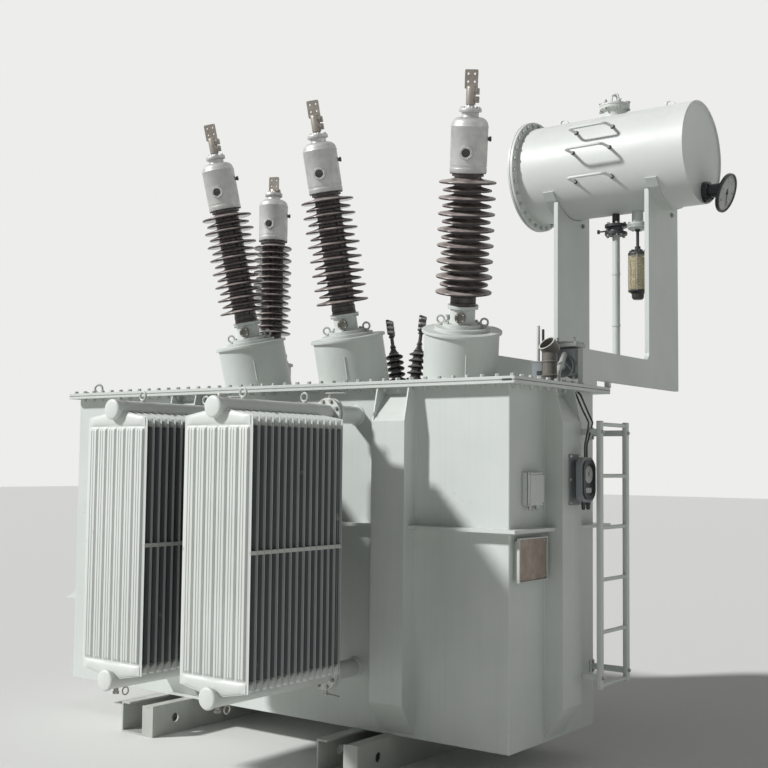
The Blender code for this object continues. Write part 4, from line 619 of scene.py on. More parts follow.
class Shape:
    """Collects closed solids and turns them into one object."""

    def __init__(self) -> None:
        """Start with no solids."""
        self.points: list[Vector] = []
        self.faces: list[tuple[int, ...]] = []
        # Share of painted shade for each point number, for the gaps between radiator panels
        self.soot: dict[int, float] = {}

    def rings(self, rings: Sequence[Sequence[Vector]], place: Matrix = IDENTITY,
              closed: bool = False) -> "Shape":
        """Skin a row of rings with the same number of points.

        Args:
            rings: the rings; a ring of one point closes the solid to a tip.
            place: where the solid goes.
            closed: join the last ring to the first, in place of end faces.

        Returns:
            This shape.
        """
        starts = []
        for ring in rings:
            starts.append(len(self.points))
            self.points.extend(place @ Vector(point) for point in ring)
        count = max(len(ring) for ring in rings)
        order = list(range(len(rings))) + ([0] if closed else [])
        for low, high in zip(order, order[1:]):
            a, b = starts[low], starts[high]
            for step in range(count):
                after = (step + 1) % count
                if len(rings[low]) == 1:
                    self.faces.append((a, b + after, b + step))
                elif len(rings[high]) == 1:
                    self.faces.append((a + step, a + after, b))
                else:
                    self.faces.append((a + step, a + after, b + after, b + step))
        if not closed:
            for index, ring in ((0, rings[0]), (-1, rings[-1])):
                if len(ring) > 1:
                    self.faces.append(tuple(starts[index] + step for step in range(len(ring))))
        return self

    def lathe(self, profile: Sequence[Pair], sides: int, place: Matrix = IDENTITY, closed: bool = False,
              floor: Optional[float] = None, phase: float = 0.0) -> "Shape":
        """Turn a profile of (radius, height) about the local Z axis.

        Args:
            profile: the profile; its ends run straight in to the axis.
            sides: facets round the axis.
            place: where the solid goes.
            closed: the profile is a closed loop clear of the axis.
            floor: slide the first ring along the axis onto this height, and end there.
            phase: turn of the first facet, in degrees.

        Returns:
            This shape.
        """
        rings = []
        start = math.radians(phase)
        whole = list(profile)
        if not closed and floor is None and whole[0][0] != 0:
            whole.insert(0, (0, whole[0][1]))
        if not closed and whole[-1][0] != 0:
            whole.append((0, whole[-1][1]))
        for radius, height in whole:
            if radius == 0:
                rings.append([Vector((0, 0, height))])
                continue
            angles = [start + 2 * math.pi * step / sides for step in range(sides)]
            rings.append([Vector((radius * math.cos(a), radius * math.sin(a), height)) for a in angles])
        if floor is not None:
            axis = place.to_3x3() @ UP
            back = place.inverted()
            rings[0] = [back @ onto(floor, place @ point, axis) for point in rings[0]]
        return self.rings(rings, place, closed)

    def rod(self, radius: float, low: float, high: float, sides: int, place: Matrix) -> "Shape":
        """A plain round bar along the local Z axis, between two heights."""
        return self.lathe([(radius, low), (radius, high)], sides, place)

    def tube(self, path: Sequence[Any], radius: float, sides: int = 10, place: Matrix = IDENTITY,
             closed: bool = False, swell: Optional[Callable[[int], float]] = None) -> "Shape":
        """Sweep a round bar along a path.

        Args:
            path: the points of the path.
            radius: the bar's radius.
            sides: facets round the bar.
            place: where the bar goes.
            closed: the path is a loop.
            swell: factor on the radius at each point.

        Returns:
            This shape.
        """
        points = [Vector(point) for point in path]
        count = len(points)
        tangents = []
        for index in range(count):
            before = points[index - 1] if closed or index else points[0]
            after = points[(index + 1) % count] if closed or index < count - 1 else points[-1]
            tangents.append((after - before).normalized())
        side = tangents[0].orthogonal().normalized()
        rings = []
        for index, point in enumerate(points):
            if index:
                side = tangents[index - 1].rotation_difference(tangents[index]) @ side
            up = tangents[index].cross(side)
            size = radius * (swell(index) if swell else 1.0)
            rings.append([point + size * (math.cos(a) * side + math.sin(a) * up)
                          for a in (2 * math.pi * step / sides for step in range(sides))])
        return self.rings(rings, place, closed)

    def slab(self, outline: Sequence[Pair], low: float, high: float, place: Matrix = IDENTITY,
             edge: float = 0.0) -> "Shape":
        """Extrude an outline along the local Z axis, with its edges eased where asked.

        Args:
            outline: the outline's (x, y) points.
            low: lower height.
            high: upper height.
            place: where the slab goes.
            edge: size of the eased edge.

        Returns:
            This shape.
        """
        layers = [(outline, low), (outline, high)]
        if edge:
            small = shrunk(outline, edge)
            layers = [(small, low), (outline, low + edge), (outline, high - edge), (small, high)]
        return self.rings([[Vector((u, v, z)) for u, v in layer] for layer, z in layers], place)

    def block(self, size: Triple, place: Matrix = IDENTITY, edge: float = 0.002) -> "Shape":
        """A box of a size about a place, with round corners and eased edges."""
        return self.slab(round_outline(size[0], size[1], min(edge * 1.5, size[0] / 2.1, size[1] / 2.1), 2),
                         -size[2] / 2, size[2] / 2, place, min(edge, size[2] / 2.2))

    def plate(self, outline: Sequence[Pair], holes: Sequence[Sequence[Pair]], low: float, high: float,
              place: Matrix = IDENTITY) -> "Shape":
        """A flat plate with holes through it.

        Args:
            outline: the outer outline.
            holes: the outlines of the holes.
            low: lower height.
            high: upper height.
            place: where the plate goes.

        Returns:
            This shape.
        """
        flat = bmesh.new()
        loops = []
        for loop in (outline, *holes):
            verts = [flat.verts.new((u, v, 0.0)) for u, v in loop]
            loops.append(verts)
            for index, vert in enumerate(verts):
                flat.edges.new((vert, verts[(index + 1) % len(verts)]))
        bmesh.ops.triangle_fill(flat, edges=flat.edges[:], use_beauty=True)
        flat.verts.index_update()
        count = len(flat.verts)
        base = len(self.points)
        for height in (low, high):
            self.points.extend(place @ Vector((v.co.x, v.co.y, height)) for v in flat.verts)
        for face in flat.faces:
            corners = [base + v.index for v in face.verts]
            self.faces.append(tuple(corners))
            self.faces.append(tuple(c + count for c in reversed(corners)))
        for verts in loops:
            for index, vert in enumerate(verts):
                a, b = base + vert.index, base + verts[(index + 1) % len(verts)].index
                self.faces.append((a, b, b + count, a + count))
        flat.free()
        return self

    def bolt(self, place: Matrix, across: float = 0.024, height: float = 0.0, washer: bool = True) -> "Shape":
        """A hexagon head with a chamfer, on a washer.

        Args:
            place: where the head stands; local Z points out of the surface.
            across: size of the head over its corners.
            height: height of the head, or 0 for the usual share.
            washer: put a washer under it.

        Returns:
            This shape.
        """
        radius = across / 2
        tall = height or across * 0.5
        rise = across * 0.1 if washer else 0.0
        if washer:
            self.rod(radius * 1.2, 0, rise, 12, place)
        turned = place.translation.x * 977 + place.translation.y * 613
        self.lathe([(radius, rise), (radius, rise + tall * 0.82), (radius * 0.86, rise + tall)], 6, place,
                   phase=turned * 60 % 60)
        return self

    def bolt_ring(self, place: Matrix, spokes: Sequence[Matrix], level: float, across: float,
                  height: float = 0.0, washer: bool = True, under: bool = False) -> "Shape":
        """One bolt at each spoke.

        Args:
            place: the middle of the ring; local Z is its axis.
            spokes: the places round the axis.
            level: where the heads stand along the axis.
            across: size of a head over its corners.
            height: height of a head, or 0 for the usual share.
            washer: put a washer under each.
            under: the heads point the other way.

        Returns:
            This shape.
        """
        for spoke in spokes:
            seat = place @ spoke @ above(level)
            self.bolt(seat @ turn(180, "X") if under else seat, across, height, washer)
        return self

    def eye(self, place: Matrix, radius: float = 0.024, rod: float = 0.007, stem: float = 0.012) -> "Shape":
        """A lifting eye: a collar and a ring that stands in the local XZ plane."""
        self.lathe([(rod * 2.2, 0), (rod * 2.2, rod), (rod * 1.2, stem), (0, stem + rod)], 12, place)
        middle = stem + radius
        path = [(u, 0, middle + v) for u, v in circle(radius, 20)]
        return self.tube(path, rod, 8, place, closed=True)

    def bead(self, path: Sequence[Any], radius: float = 0.005, closed: bool = False) -> "Shape":
        """A weld bead with its ripples, drawn 14 mm apart so that they show."""
        points = [Vector(p) for p in path]
        if closed:
            points.append(points[0])
        fine: list[Vector] = []
        for start, end in zip(points, points[1:]):
            steps = max(int((end - start).length / 0.014), 1)
            fine += [start.lerp(end, s / steps) for s in range(steps)]
        if not closed:
            fine.append(points[-1])
        return self.tube(fine, radius, 6, IDENTITY, closed, lambda i: 1.0 + 0.16 * (i % 2))

    def finish(self, name: str, finish: Finish, *named: str, sharp: float = 32.0,
               slot: Optional[Slot] = None) -> None:
        """Turn the solids into one object that rides on the transformer.

        Args:
            name: the piece's name.
            finish: its finish.
            named: the CAD nodes it stands for.
            sharp: the angle above which an edge stays sharp, in degrees.
            slot: the record's slot, where it isn't the finish's own; it is worked out but not used.
        """
        mesh = bpy.data.meshes.new(name)
        mesh.from_pydata([tuple(point) for point in self.points], [], self.faces)
        work = bmesh.new()
        work.from_mesh(mesh)
        bmesh.ops.recalc_face_normals(work, faces=work.faces)
        work.to_mesh(mesh)
        work.free()
        # Store each point's share of painted shade for the enamel to read
        if self.soot:
            layer = mesh.attributes.new(PAINTED_SHADE_ATTRIBUTE, "FLOAT", "POINT")
            for index, share in self.soot.items():
                layer.data[index].value = share
        mesh.materials.append(finish.material())
        mesh.shade_smooth()
        mesh.set_sharp_from_angle(angle=math.radians(sharp))
        made = bpy.data.objects.new(name, mesh)
        bpy.context.scene.collection.objects.link(made)
        slot = slot or finish.slot
        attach(made, "root")
        if named:
            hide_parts(*named)
        LOG.info("%s: %d faces", name, len(mesh.polygons))


def coat(finish: Finish, *nodes: str) -> None:
    """Give CAD nodes their finish."""
    for node in nodes:
        for held in frame["nodes"][node].material_slots:
            held.material = finish.material()


# Sub-assemblies

@dataclass
class Tank:
    """The tank with its bolted cover, stiffeners and welds."""

    length: float = 3.845
    width: float = 1.20
    bolt_inset: float = 0.040
    bolt_pitch: float = 0.100
    bolt_size: float = 0.030
    stiffener_width: float = 0.24
    stiffeners: Pair = (-0.698, 1.077)

    def bolt_places(self) -> list[Pair]:
        """The bolts round the rim, moved clear of the drum's brackets."""
        places = []
        end, side = self.length / 2 - self.bolt_inset, self.width / 2 - self.bolt_inset
        along = round(2 * end / self.bolt_pitch)
        for step in range(along + 1):
            x = -end + 2 * end * step / along
            places.append((x, -side))
            if not any(face - 0.075 < x < face + 0.030 for face in ARM_FACES):
                places.append((x, side))
        across = round(2 * side / self.bolt_pitch)
        for step in range(1, across):
            y = -side + 2 * side * step / across
            places.append((-end, y))
            if y < 0.16:
                places.append((end, y))
        return places

    def build(self) -> None:
        """Coat the CAD solids and add bolts, gasket, welds and eyes."""
        coat(ENAMEL, "tank_body", "tank_cover", *[n for n in frame["nodes"] if n.startswith("stiffener")])
        bolts = Shape()
        for x, y in self.bolt_places():
            bolts.bolt(spot(x, y, COVER_TOP), self.bolt_size)
            if x > -self.length / 2 + 0.06:
                under = spot(x, y, RIM_BOTTOM) @ turn(180, "X")
                bolts.bolt(under, self.bolt_size, self.bolt_size * 0.45)
                bolts.lathe([(0.009, 0), (0.009, 0.024), (0, 0.026)], 8, under)
        bolts.finish("rim_bolts", FITTING_ENAMEL)
        self.gasket()
        self.welds()
        self.cover_fittings()

    def gasket(self) -> None:
        """The cork strip squeezed between rim and cover, just proud of both."""
        strip = Shape()
        outer = round_outline(self.length + 0.002, self.width + 0.002, 0.016, 3)
        inner = round_outline(self.length - 0.03, self.width - 0.03, 0.010, 3)
        strip.plate(outer, [inner], COVER_LOW.z - 0.0026, COVER_LOW.z + 0.0024, spot(0, 0, 0))
        strip.finish("cover_gasket", CORK)
        front = COVER_LOW.y - ORIGIN.y
        # A short black block along the front rim near the corner paints the shade of a gap in the rim
        slot = Shape().block((0.062, 0.004, 0.011),
                             spot(self.length / 2 - 0.055, front - 0.0005, COVER_LOW.z), 0.001)
        slot.finish("rim_jacking_slot", RUBBER)

    def welds(self) -> None:
        """Fillet welds where stiffeners and rim meet the walls."""
        beads = Shape()
        foot = TANK_BOTTOM + 0.02
        half = self.stiffener_width / 2
        for side in (-1, 1):
            wall = side * SIDE_WALL
            for x in self.stiffeners:
                for edge in (-half, half):
                    beads.bead([ORIGIN + Vector((x + edge, wall, z)) for z in (foot, RIM_BOTTOM)])
            beads.bead([ORIGIN + Vector((x, wall, RIM_BOTTOM)) for x in (-1.88, RIGHT_WALL)])
        for edge in (-half, half):
            beads.bead([ORIGIN + Vector((RIGHT_WALL, edge, z)) for z in (foot, RIM_BOTTOM)])
            beads.bead([ORIGIN + Vector((LEFT_WALL, edge, z)) for z in (foot, RIM_BOTTOM)])
        beads.bead([ORIGIN + Vector((RIGHT_WALL, y, RIM_BOTTOM)) for y in (-SIDE_WALL, SIDE_WALL)])
        beads.finish("wall_welds", ENAMEL, sharp=60)

    def cover_fittings(self) -> None:
        """Lifting eyes, a pulling strip and blank covers on top."""
        made = Shape()
        for x, y in ((-1.80, -0.42), (-1.80, 0.42)):
            made.eye(spot(x, y, COVER_TOP) @ turn(25, "Z"), 0.030, 0.009, 0.014)
        made.slab(round_outline(0.42, 0.10, 0.01, 2), 0, 0.012, spot(-1.32, -0.40, COVER_TOP + GAP), 0.002)
        for x in (-1.48, -1.16):
            made.bolt(spot(x, -0.40, COVER_TOP + 0.012), 0.026)
        blank = spot(-1.18, 0.05, COVER_TOP + GAP)
        made.lathe([(0.16, 0), (0.16, 0.014), (0.156, 0.018)], 40, blank)
        made.bolt_ring(blank, ring_of(12, 0.135), 0.018, 0.024)
        made.finish("cover_fittings", FITTING_ENAMEL)


@dataclass
class Radiator:
    """A stack of pressed panels on two header pipes."""

    name: str
    place: Matrix
    standoff: float = 0.438
    panels: int = 15
    pitch: float = 0.0535
    width: float = 0.504
    thickness: float = 0.022
    first_inset: float = 0.003
    level: float = 1.895
    spacing: float = 1.533
    corner: float = 0.045
    edge: float = 0.098
    flutes: int = 6
    flute_margin: float = 0.016
    gap_share: float = 0.14
    slope_share: float = 0.07
    bead_share: float = 0.12
    nick_share: float = 0.045
    flute_rise: float = 0.007
    flute_fade: float = 0.016
    valley: float = 0.0045
    dome: float = 0.0257
    outer_dome: float = 0.0125
    fillet: float = 0.016
    fillet_reach: float = 0.10
    body_end: float = 0.91
    lip: float = 0.0016
    # Shares of the painted shade between panels on the welded lip and on the domed ends; the flutes take the
    # full share
    lip_painted_shade: float = 0.4
    head_painted_shade: float = 0.15
    pipe: float = 0.108
    cap: float = 0.120

    @property
    def top(self) -> float:
        """Height of the upper header's axis."""
        return TANK_BOTTOM + self.level

    @property
    def low(self) -> float:
        """Height of the lower header's axis."""
        return self.top - self.spacing

    @property
    def outer(self) -> float:
        """Distance from the wall to the outside of the stack."""
        return self.standoff + (self.panels - 1) * self.pitch + self.thickness + 2 * self.first_inset

    def columns(self, fine: bool) -> list[tuple[float, float, float]]:
        """Places across a panel.

        Args:
            fine: draw the round shoulders of the flutes.

        Returns:
            For each place its distance from the middle, its share of a flute's rise and
            its share of the panel's body, which is 0 on the welded lip.
        """
        half = self.width / 2
        span = self.width - 2 * self.flute_margin
        pitch = span / self.flutes
        foot = pitch * (1 - self.gap_share) / 2
        crest = foot - pitch * self.slope_share
        made = [(-half, 0.0, 0.0), (-half + 0.012, 0.0, 0.0), (-half + 0.016, 0.0, 1.0)]
        for index in range(self.flutes):
            middle = (index + 0.5) * pitch - span / 2
            if fine:
                bead = self.bead_share * pitch
                nick = self.nick_share * pitch
                shares = [(foot, 0.0), ((foot + crest) / 2, 0.62), (crest, 0.96), (bead + nick, 1.0),
                          (bead, 0.5),
                          (bead - nick, 0.98)]
                shares = [(-offset, share) for offset, share in shares] + [(0.0, 1.0)] + shares[::-1]
            else:
                shares = [(-foot, 0.0), (-crest, 1.0), (crest, 1.0), (foot, 0.0)]
            made += [(middle + offset, share, 1.0) for offset, share in shares]
        made += [(half - 0.016, 0.0, 1.0), (half - 0.012, 0.0, 0.0), (half, 0.0, 0.0)]
        return made

    def rows(self, fine: bool) -> list[tuple[int, float]]:
        """Places up a panel, each as (zone, share of the zone): -1 foot, 0 flutes, 1 head."""
        ends = (0.0, 0.004, 0.009, 0.016) if fine else (0.0, 0.012)
        heads = (0.0, 0.1, 0.25, 0.72, 0.82, self.body_end, 1.0)
        if fine:
            heads = (0.0, 0.1, 0.2, 0.4, 0.7, 0.8, 0.9, 0.915, 1.0)
        made = [(-1, share) for share in reversed(heads)]
        made += [(0, e) for e in ends] + [(0, 1 - e) for e in reversed(ends)]
        return made + [(1, share) for share in heads]

    def panel(self, shape: Shape, index: int) -> None:
        """Press one panel: flutes, domed heads and a thin welded lip all round.

        Args:
            shape: the shape that collects the panels.
            index: 0 is next to the tank.
        """
        last = index == self.panels - 1
        fine = last or index == 0
        columns, rows = self.columns(fine), self.rows(fine)
        middle = self.standoff + self.first_inset + self.thickness / 2 + index * self.pitch
        sheets = []
        for side in (1, -1):
            proud = last and side > 0
            grid = []
            for zone, share in rows:
                line = []
                for across, rise, body in columns:
                    if zone == 0:
                        z, thick = self.flute_point(share, rise, proud)
                    else:
                        z, thick = self.head_point(zone, share, across, proud)
                    out = middle + side * (thick if body else self.lip)
                    line.append(self.place @ Vector((out, across, z)))
                grid.append(line)
            # A sheet that faces another panel gets painted shade
            if not proud:
                first = len(shape.points) + len(sheets) * len(rows) * len(columns)
                self.darken(shape, first, rows, columns)
            sheets.append(grid)
        self.stitch(shape, sheets)

    def flute_point(self, share: float, rise: float, proud: bool) -> Pair:
        """Height and half thickness of a point on the flutes, which fade out at both ends."""
        start, end = self.low + self.edge + 0.006, self.top - self.edge - 0.006
        crest = self.thickness / 2 + (self.flute_rise if proud else 0.0) - 0.0003
        from_end = min(share, 1 - share) * (end - start)
        thick = self.valley + (crest - self.valley) * rise * smooth(from_end / self.flute_fade)
        return start + share * (end - start), thick

    def head_point(self, zone: int, share: float, across: float, proud: bool) -> Pair:
        """Height and half thickness of a point on a domed end.

        Args:
            zone: 1 for the head, -1 for the foot.
            share: how far the point is from the flutes to the end's edge.
            across: distance from the panel's middle.
            proud: the outermost sheet, whose dome is flatter.

        Returns:
            The height and the half thickness.
        """
        half = self.width / 2
        slope = self.corner * abs(across) / half
        fillet = self.fillet * max(0.0, 1 - abs(across) / self.fillet_reach) ** 2
        base = self.top - self.edge if zone > 0 else self.low + self.edge
        z = base + zone * share * (self.edge - slope + fillet)
        if share >= self.body_end:
            return z, self.lip
        if share == 0.0:
            return z, self.valley - 0.001
        dome, shoulder = (self.outer_dome, 0.05) if proud else (self.dome, 0.024)
        swell = smooth(share / 0.25) * (1 - smooth((share - 0.7) / 0.2))
        swell *= smooth((half - 0.014 - abs(across)) / shoulder)
        return z, self.valley + 0.0015 + (dome - self.valley - 0.0015) * swell

    def darken(self, shape: Shape, first: int, rows: list[tuple[int, float]],
               columns: list[tuple[float, float, float]]) -> None:
        """Mark the points of a sheet that faces another panel, where shade between the panels is painted.

        Args:
            shape: the shape that collects the panels.
            first: number of the sheet's first point.
            rows: the sheet's rows.
            columns: the sheet's columns.
        """
        for row, (zone, _) in enumerate(rows):
            for column, (_, _, body) in enumerate(columns):
                held = (self.lip_painted_shade + (1 - self.lip_painted_shade) * body) if zone == 0 else self.head_painted_shade
                shape.soot[first + row * len(columns) + column] = held

    def stitch(self, shape: Shape, sheets: list[list[list[Vector]]]) -> None:
        """Join the two pressed sheets along their edges into one closed solid."""
        base = len(shape.points)
        high, wide = len(sheets[0]), len(sheets[0][0])
        for grid in sheets:
            for line in grid:
                shape.points.extend(line)
        count = high * wide
        for row in range(high - 1):
            for column in range(wide - 1):
                a = base + row * wide + column
                shape.faces.append((a, a + 1, a + wide + 1, a + wide))
                b = a + count
                shape.faces.append((b + wide, b + wide + 1, b + 1, b))
        rim = list(range(wide))
        rim += [row * wide + wide - 1 for row in range(1, high)]
        rim += [(high - 1) * wide + column for column in range(wide - 2, -1, -1)]
        rim += [row * wide for row in range(high - 2, 0, -1)]
        for a, b in zip(rim, rim[1:] + rim[:1]):
            shape.faces.append((base + b, base + a, base + a + count, base + b + count))

    def header(self, shape: Shape, level_z: float) -> None:
        """One header pipe with its flanges, butterfly valve and dished cap."""
        along = self.place @ above(level_z) @ turn(90, "Y")
        pipe, cap, end = self.pipe / 2, self.cap / 2, self.outer + 0.020
        shape.lathe([(pipe + 0.012, 0.0005), (pipe + 0.004, 0.012), (pipe, 0.014), (pipe, end)], 40, along)
        shape.lathe([(cap, end - 0.002), (cap, end + 0.012), (cap - 0.004, end + 0.017),
                     (cap - 0.014, end + 0.020)], 48, along)
        for start, thick, radius in ((0.240, 0.017, 0.095), (0.2585, 0.013, 0.082), (0.273, 0.017, 0.095)):
            shape.rod(radius, start, start + thick, 40, along)

    def fittings(self) -> None:
        """Flange bolts, valve levers, eyes, plugs and the straps of the stack."""
        made, steel = Shape(), Shape()
        for sign, level_z in ((1, self.top), (-1, self.low)):
            along = self.place @ above(level_z) @ turn(90, "Y")
            steel.bolt_ring(along, ring_of(8, 0.078, 22.5), 0.290, 0.022)
            steel.bolt_ring(along, ring_of(8, 0.078, 22.5), 0.240, 0.022, under=True)
            stalk = self.place @ at(0.265, 0, level_z)
            steel.lathe([(0.010, 0.05), (0.010, 0.118), (0.016, 0.120), (0.016, 0.128)], 12,
                        stalk if sign > 0 else stalk @ turn(180, "X"))
            lever = stalk @ at(0.0, 0.045, sign * 0.122)
            made.block((0.022, 0.13, 0.008), lever @ turn(12 * sign, "Z"), 0.002)
        pipe = self.pipe / 2
        for distance in (self.standoff + 0.06, self.outer - 0.20):
            made.eye(self.place @ at(distance, 0, self.top + pipe - 0.003) @ turn(90, "Z"), 0.024, 0.0065)
        steel.bolt(self.place @ at(self.outer - 0.02, 0, self.top + pipe - 0.003), 0.026, 0.020)
        cock = self.place @ at(self.outer - 0.05, 0, self.low - pipe + 0.003) @ turn(180, "X")
        steel.lathe([(0.014, 0), (0.014, 0.018), (0.018, 0.020), (0.018, 0.034), (0, 0.036)], 10, cock)
        loop = [(u, 0, 0.050 + v) for u, v in circle(0.022, 16)]
        steel.tube(loop, 0.0045, 6, self.place @ at(self.outer - 0.12, 0, self.low - pipe - 0.075),
                   closed=True)
        reach = self.outer - self.standoff - self.thickness
        middle = self.place @ at((self.outer + self.standoff) / 2, 0, (self.top + self.low) / 2)
        for side in (-1, 1):
            made.block((reach, 0.012, 0.022), middle @ at(0, side * (self.width / 2 - 0.008), 0), 0.002)
        made.finish(f"{self.name}_brackets", FITTING_ENAMEL)
        steel.finish(f"{self.name}_bolts", ZINC)

    def build(self) -> None:
        """Build the stack in place of the CAD solid."""
        stack = Shape()
        for index in range(self.panels):
            self.panel(stack, index)
        for level_z in (self.top, self.low):
            self.header(stack, level_z)
        stack.finish(f"{self.name}_panels", PANEL_ENAMEL, self.name, sharp=38)
        self.fittings()


@dataclass
class TallBushing:
    """A turret with its porcelain insulator, oil head and flag terminal on one axis."""

    label: str
    place: Matrix
    turret_radius: float = 0.225
    turret_height: float = 0.325
    pad_radius: float = 0.165
    sheds: Pair = (0.337, 0.290)
    stud: float = 0.108
    clamp: float = 0.105
    glass_turn: float = 26.0
    neck: float = 0.130
    foot: float = 0.065
    porcelain: float = 0.690
    shed_count: int = 15
    core: float = 0.080
    head: float = 0.335

    @property
    def neck_top(self) -> float:
        """Height of the top of the neck along the axis."""
        return self.turret_height + 0.020 + self.neck

    def turret(self) -> None:
        """The welded turret with its stepped lid, neck and oil port."""
        body, top = self.turret_radius, self.turret_height
        lid, pad = body + 0.016, self.pad_radius
        pad_top = top + 0.020
        made = Shape()
        made.lathe([(body, -0.02), (body, top - 0.018), (lid - 0.002, top - 0.018), (lid, top - 0.016),
                    (lid, top - 0.003), (lid - 0.003, top), (pad, top), (pad, pad_top - 0.002),
                    (pad - 0.002, pad_top), (0.1175, pad_top), (0.1175, pad_top + 0.020),
                    (0.1155, pad_top + 0.022), (0.084, pad_top + 0.022), (0.077, pad_top + 0.027),
                    (0.075, pad_top + 0.034), (0.075, self.neck_top - 0.024),
                    (0.080, self.neck_top - 0.018), (0.0925, self.neck_top - 0.018),
                    (0.0925, self.neck_top - 0.001), (0.0915, self.neck_top)], 56, self.place,
                   floor=COVER_TOP + GAP)
        port = facing_front(self.place @ turn(self.glass_turn, "Z") @ above(pad_top + self.neck / 2))
        made.rod(0.024, 0.05, 0.088, 28, port)
        axis = self.place.to_3x3() @ UP
        foot = [onto(COVER_TOP + 0.003, self.place @ Vector((u, v, 0)), axis) for u, v in circle(body, 48)]
        made.bead(foot, 0.006, closed=True)
        seam = math.radians(-62 if self.label == "b" else -48)
        line = [self.place @ Vector((body * math.cos(seam), body * math.sin(seam), z))
                for z in (0.075, 0.215)]
        made.bead(line, 0.0045)
        made.finish(f"turret_{self.label}_body", ENAMEL, f"turret_{self.label}", sharp=35)
        cap = Shape().lathe([(0.031, 0.086), (0.033, 0.088), (0.033, 0.103), (0.031, 0.105), (0.020, 0.105),
                             (0.018, 0.101)], 28, port)
        cap.finish(f"turret_{self.label}_port", RELIEF_ENAMEL)
        extras = Shape()
        extras.bolt_ring(self.place, ring_of(8, 0.102, 22.5), pad_top + 0.022, 0.018)
        extras.bolt_ring(self.place, ring_of(6, 0.084, 30), self.neck_top - 0.018, 0.014, under=True)
        extras.bolt_ring(port, ring_of(4, 0.026, 45), 0.1045, 0.010, washer=False)
        extras.finish(f"turret_{self.label}_bolts", FITTING_ENAMEL)
        eyes = Shape()
        for side in (-1, 1):
            where = self.place @ turn(20, "Z") @ at(side * (pad - 0.030), 0, pad_top)
            eyes.eye(where, 0.022, 0.0065)
        cock = self.place @ turn(150, "Z") @ at(lid - 0.035, 0, top)
        eyes.lathe([(0.013, 0), (0.013, 0.02), (0.009, 0.024), (0.009, 0.045), (0.015, 0.047),
                    (0.015, 0.056), (0, 0.058)], 12, cock)
        eyes.finish(f"turret_{self.label}_eyes", FITTING_ENAMEL)

    def insulator(self) -> None:
        """The porcelain: deep sheds of two sizes with dripping lips."""
        place = self.place @ above(self.neck_top + GAP)
        pitch = self.porcelain / self.shed_count
        core = self.core
        profile: list[Pair] = [(core - 0.006, self.foot - 0.012), (core - 0.006, self.foot)]
        for index in range(self.shed_count):
            base = self.foot + index * pitch
            edge = self.sheds[index % 2] / 2
            deep = edge - core
            profile += [(core, base + 0.02 * pitch), (core + 0.3 * deep, base + 0.03 * pitch),
                        (edge - 0.016, base + 0.10 * pitch), (edge - 0.010, base + 0.07 * pitch),
                        (edge - 0.002, base + 0.12 * pitch), (edge, base + 0.24 * pitch),
                        (edge - 0.002, base + 0.36 * pitch), (edge - 0.012, base + 0.44 * pitch),
                        (core + 0.45 * deep, base + 0.57 * pitch),
                        (core + 0.14 * deep, base + 0.69 * pitch), (core, base + 0.80 * pitch),
                        (core, base + 0.98 * pitch)]
        profile.append((core - 0.004, self.foot + self.porcelain))
        made = Shape().lathe(profile, 56, place)
        made.finish(f"insulator_{self.label}_sheds", GLAZE, f"insulator_{self.label}", sharp=50)
        ring = Shape()
        ring.lathe([(0.0775, 0), (0.0775, 0.014), (0.074, 0.018), (0.0765, 0.022), (0.0765, 0.050),
                    (0.072, 0.0525)], 40, place)
        ring.finish(f"insulator_{self.label}_foot", CEMENT_METAL)

    def head_unit(self) -> None:
        """The oil head with its window, tap, stud, clamp and flag."""
        place = self.place @ above(self.neck_top + 2 * GAP + self.foot + self.porcelain)
        top, cap_top = self.head, self.head + 0.050
        profile: list[Pair] = [(0.106, 0.020), (0.108, 0.023), (0.108, 0.046), (0.1065, 0.048),
                               (0.1065, 0.060), (0.108, 0.062)]
        profile += [(0.108, top - 0.058), (0.1095, top - 0.055), (0.1095, top - 0.049),
                    (0.107, top - 0.046)]
        for step in range(1, 9):
            angle = math.pi / 2 * step / 8
            profile.append((0.106 - 0.048 * (1 - math.cos(angle)), top - 0.044 * (1 - math.sin(angle))))
        profile += [(0.052, top + 0.001), (0.050, top + 0.005), (0.050, cap_top - 0.024),
                    (0.064, cap_top - 0.022), (0.065, cap_top - 0.020), (0.065, cap_top - 0.003),
                    (0.063, cap_top), (0.030, cap_top), (0.026, cap_top + 0.004), (0.022, cap_top + 0.010),
                    (0.022, cap_top + self.stud)]
        made = Shape().lathe(profile, 56, place)
        turned = place @ turn(self.glass_turn, "Z")
        window = facing_front(turned @ above(0.135))
        made.lathe([(0.040, 0.08), (0.040, 0.116), (0.038, 0.120), (0.026, 0.120), (0.024, 0.112)], 36,
                   window)
        made.bolt_ring(window, ring_of(6, 0.032), 0.1195, 0.008, washer=False)
        made.bolt_ring(place, ring_of(6, 0.052, 15), cap_top, 0.016)
        made.finish(f"bushing_head_{self.label}_casting", HEAD_METAL,
                    f"bushing_head_{self.label}", sharp=35)
        dark = Shape().rod(0.0925, 0, 0.019, 48, place)
        dark.bolt_ring(place, ring_of(8, 0.100, 0), 0.020, 0.013, washer=False, under=True)
        tap = place @ turn(36, "Z") @ above(0.215) @ turn(90, "Y")
        dark.lathe([(0.011, 0.09), (0.011, 0.114), (0.015, 0.116), (0.015, 0.127), (0, 0.129)], 12, tap)
        dark.finish(f"bushing_head_{self.label}_collar", CEMENT_METAL)
        glass = Shape().lathe([(0.0245, 0.108), (0.0245, 0.1135), (0.016, 0.1155), (0, 0.1162)], 32, window)
        glass.finish(f"bushing_head_{self.label}_window", OIL_GLASS)
        self.terminal(turned @ above(cap_top + self.stud))

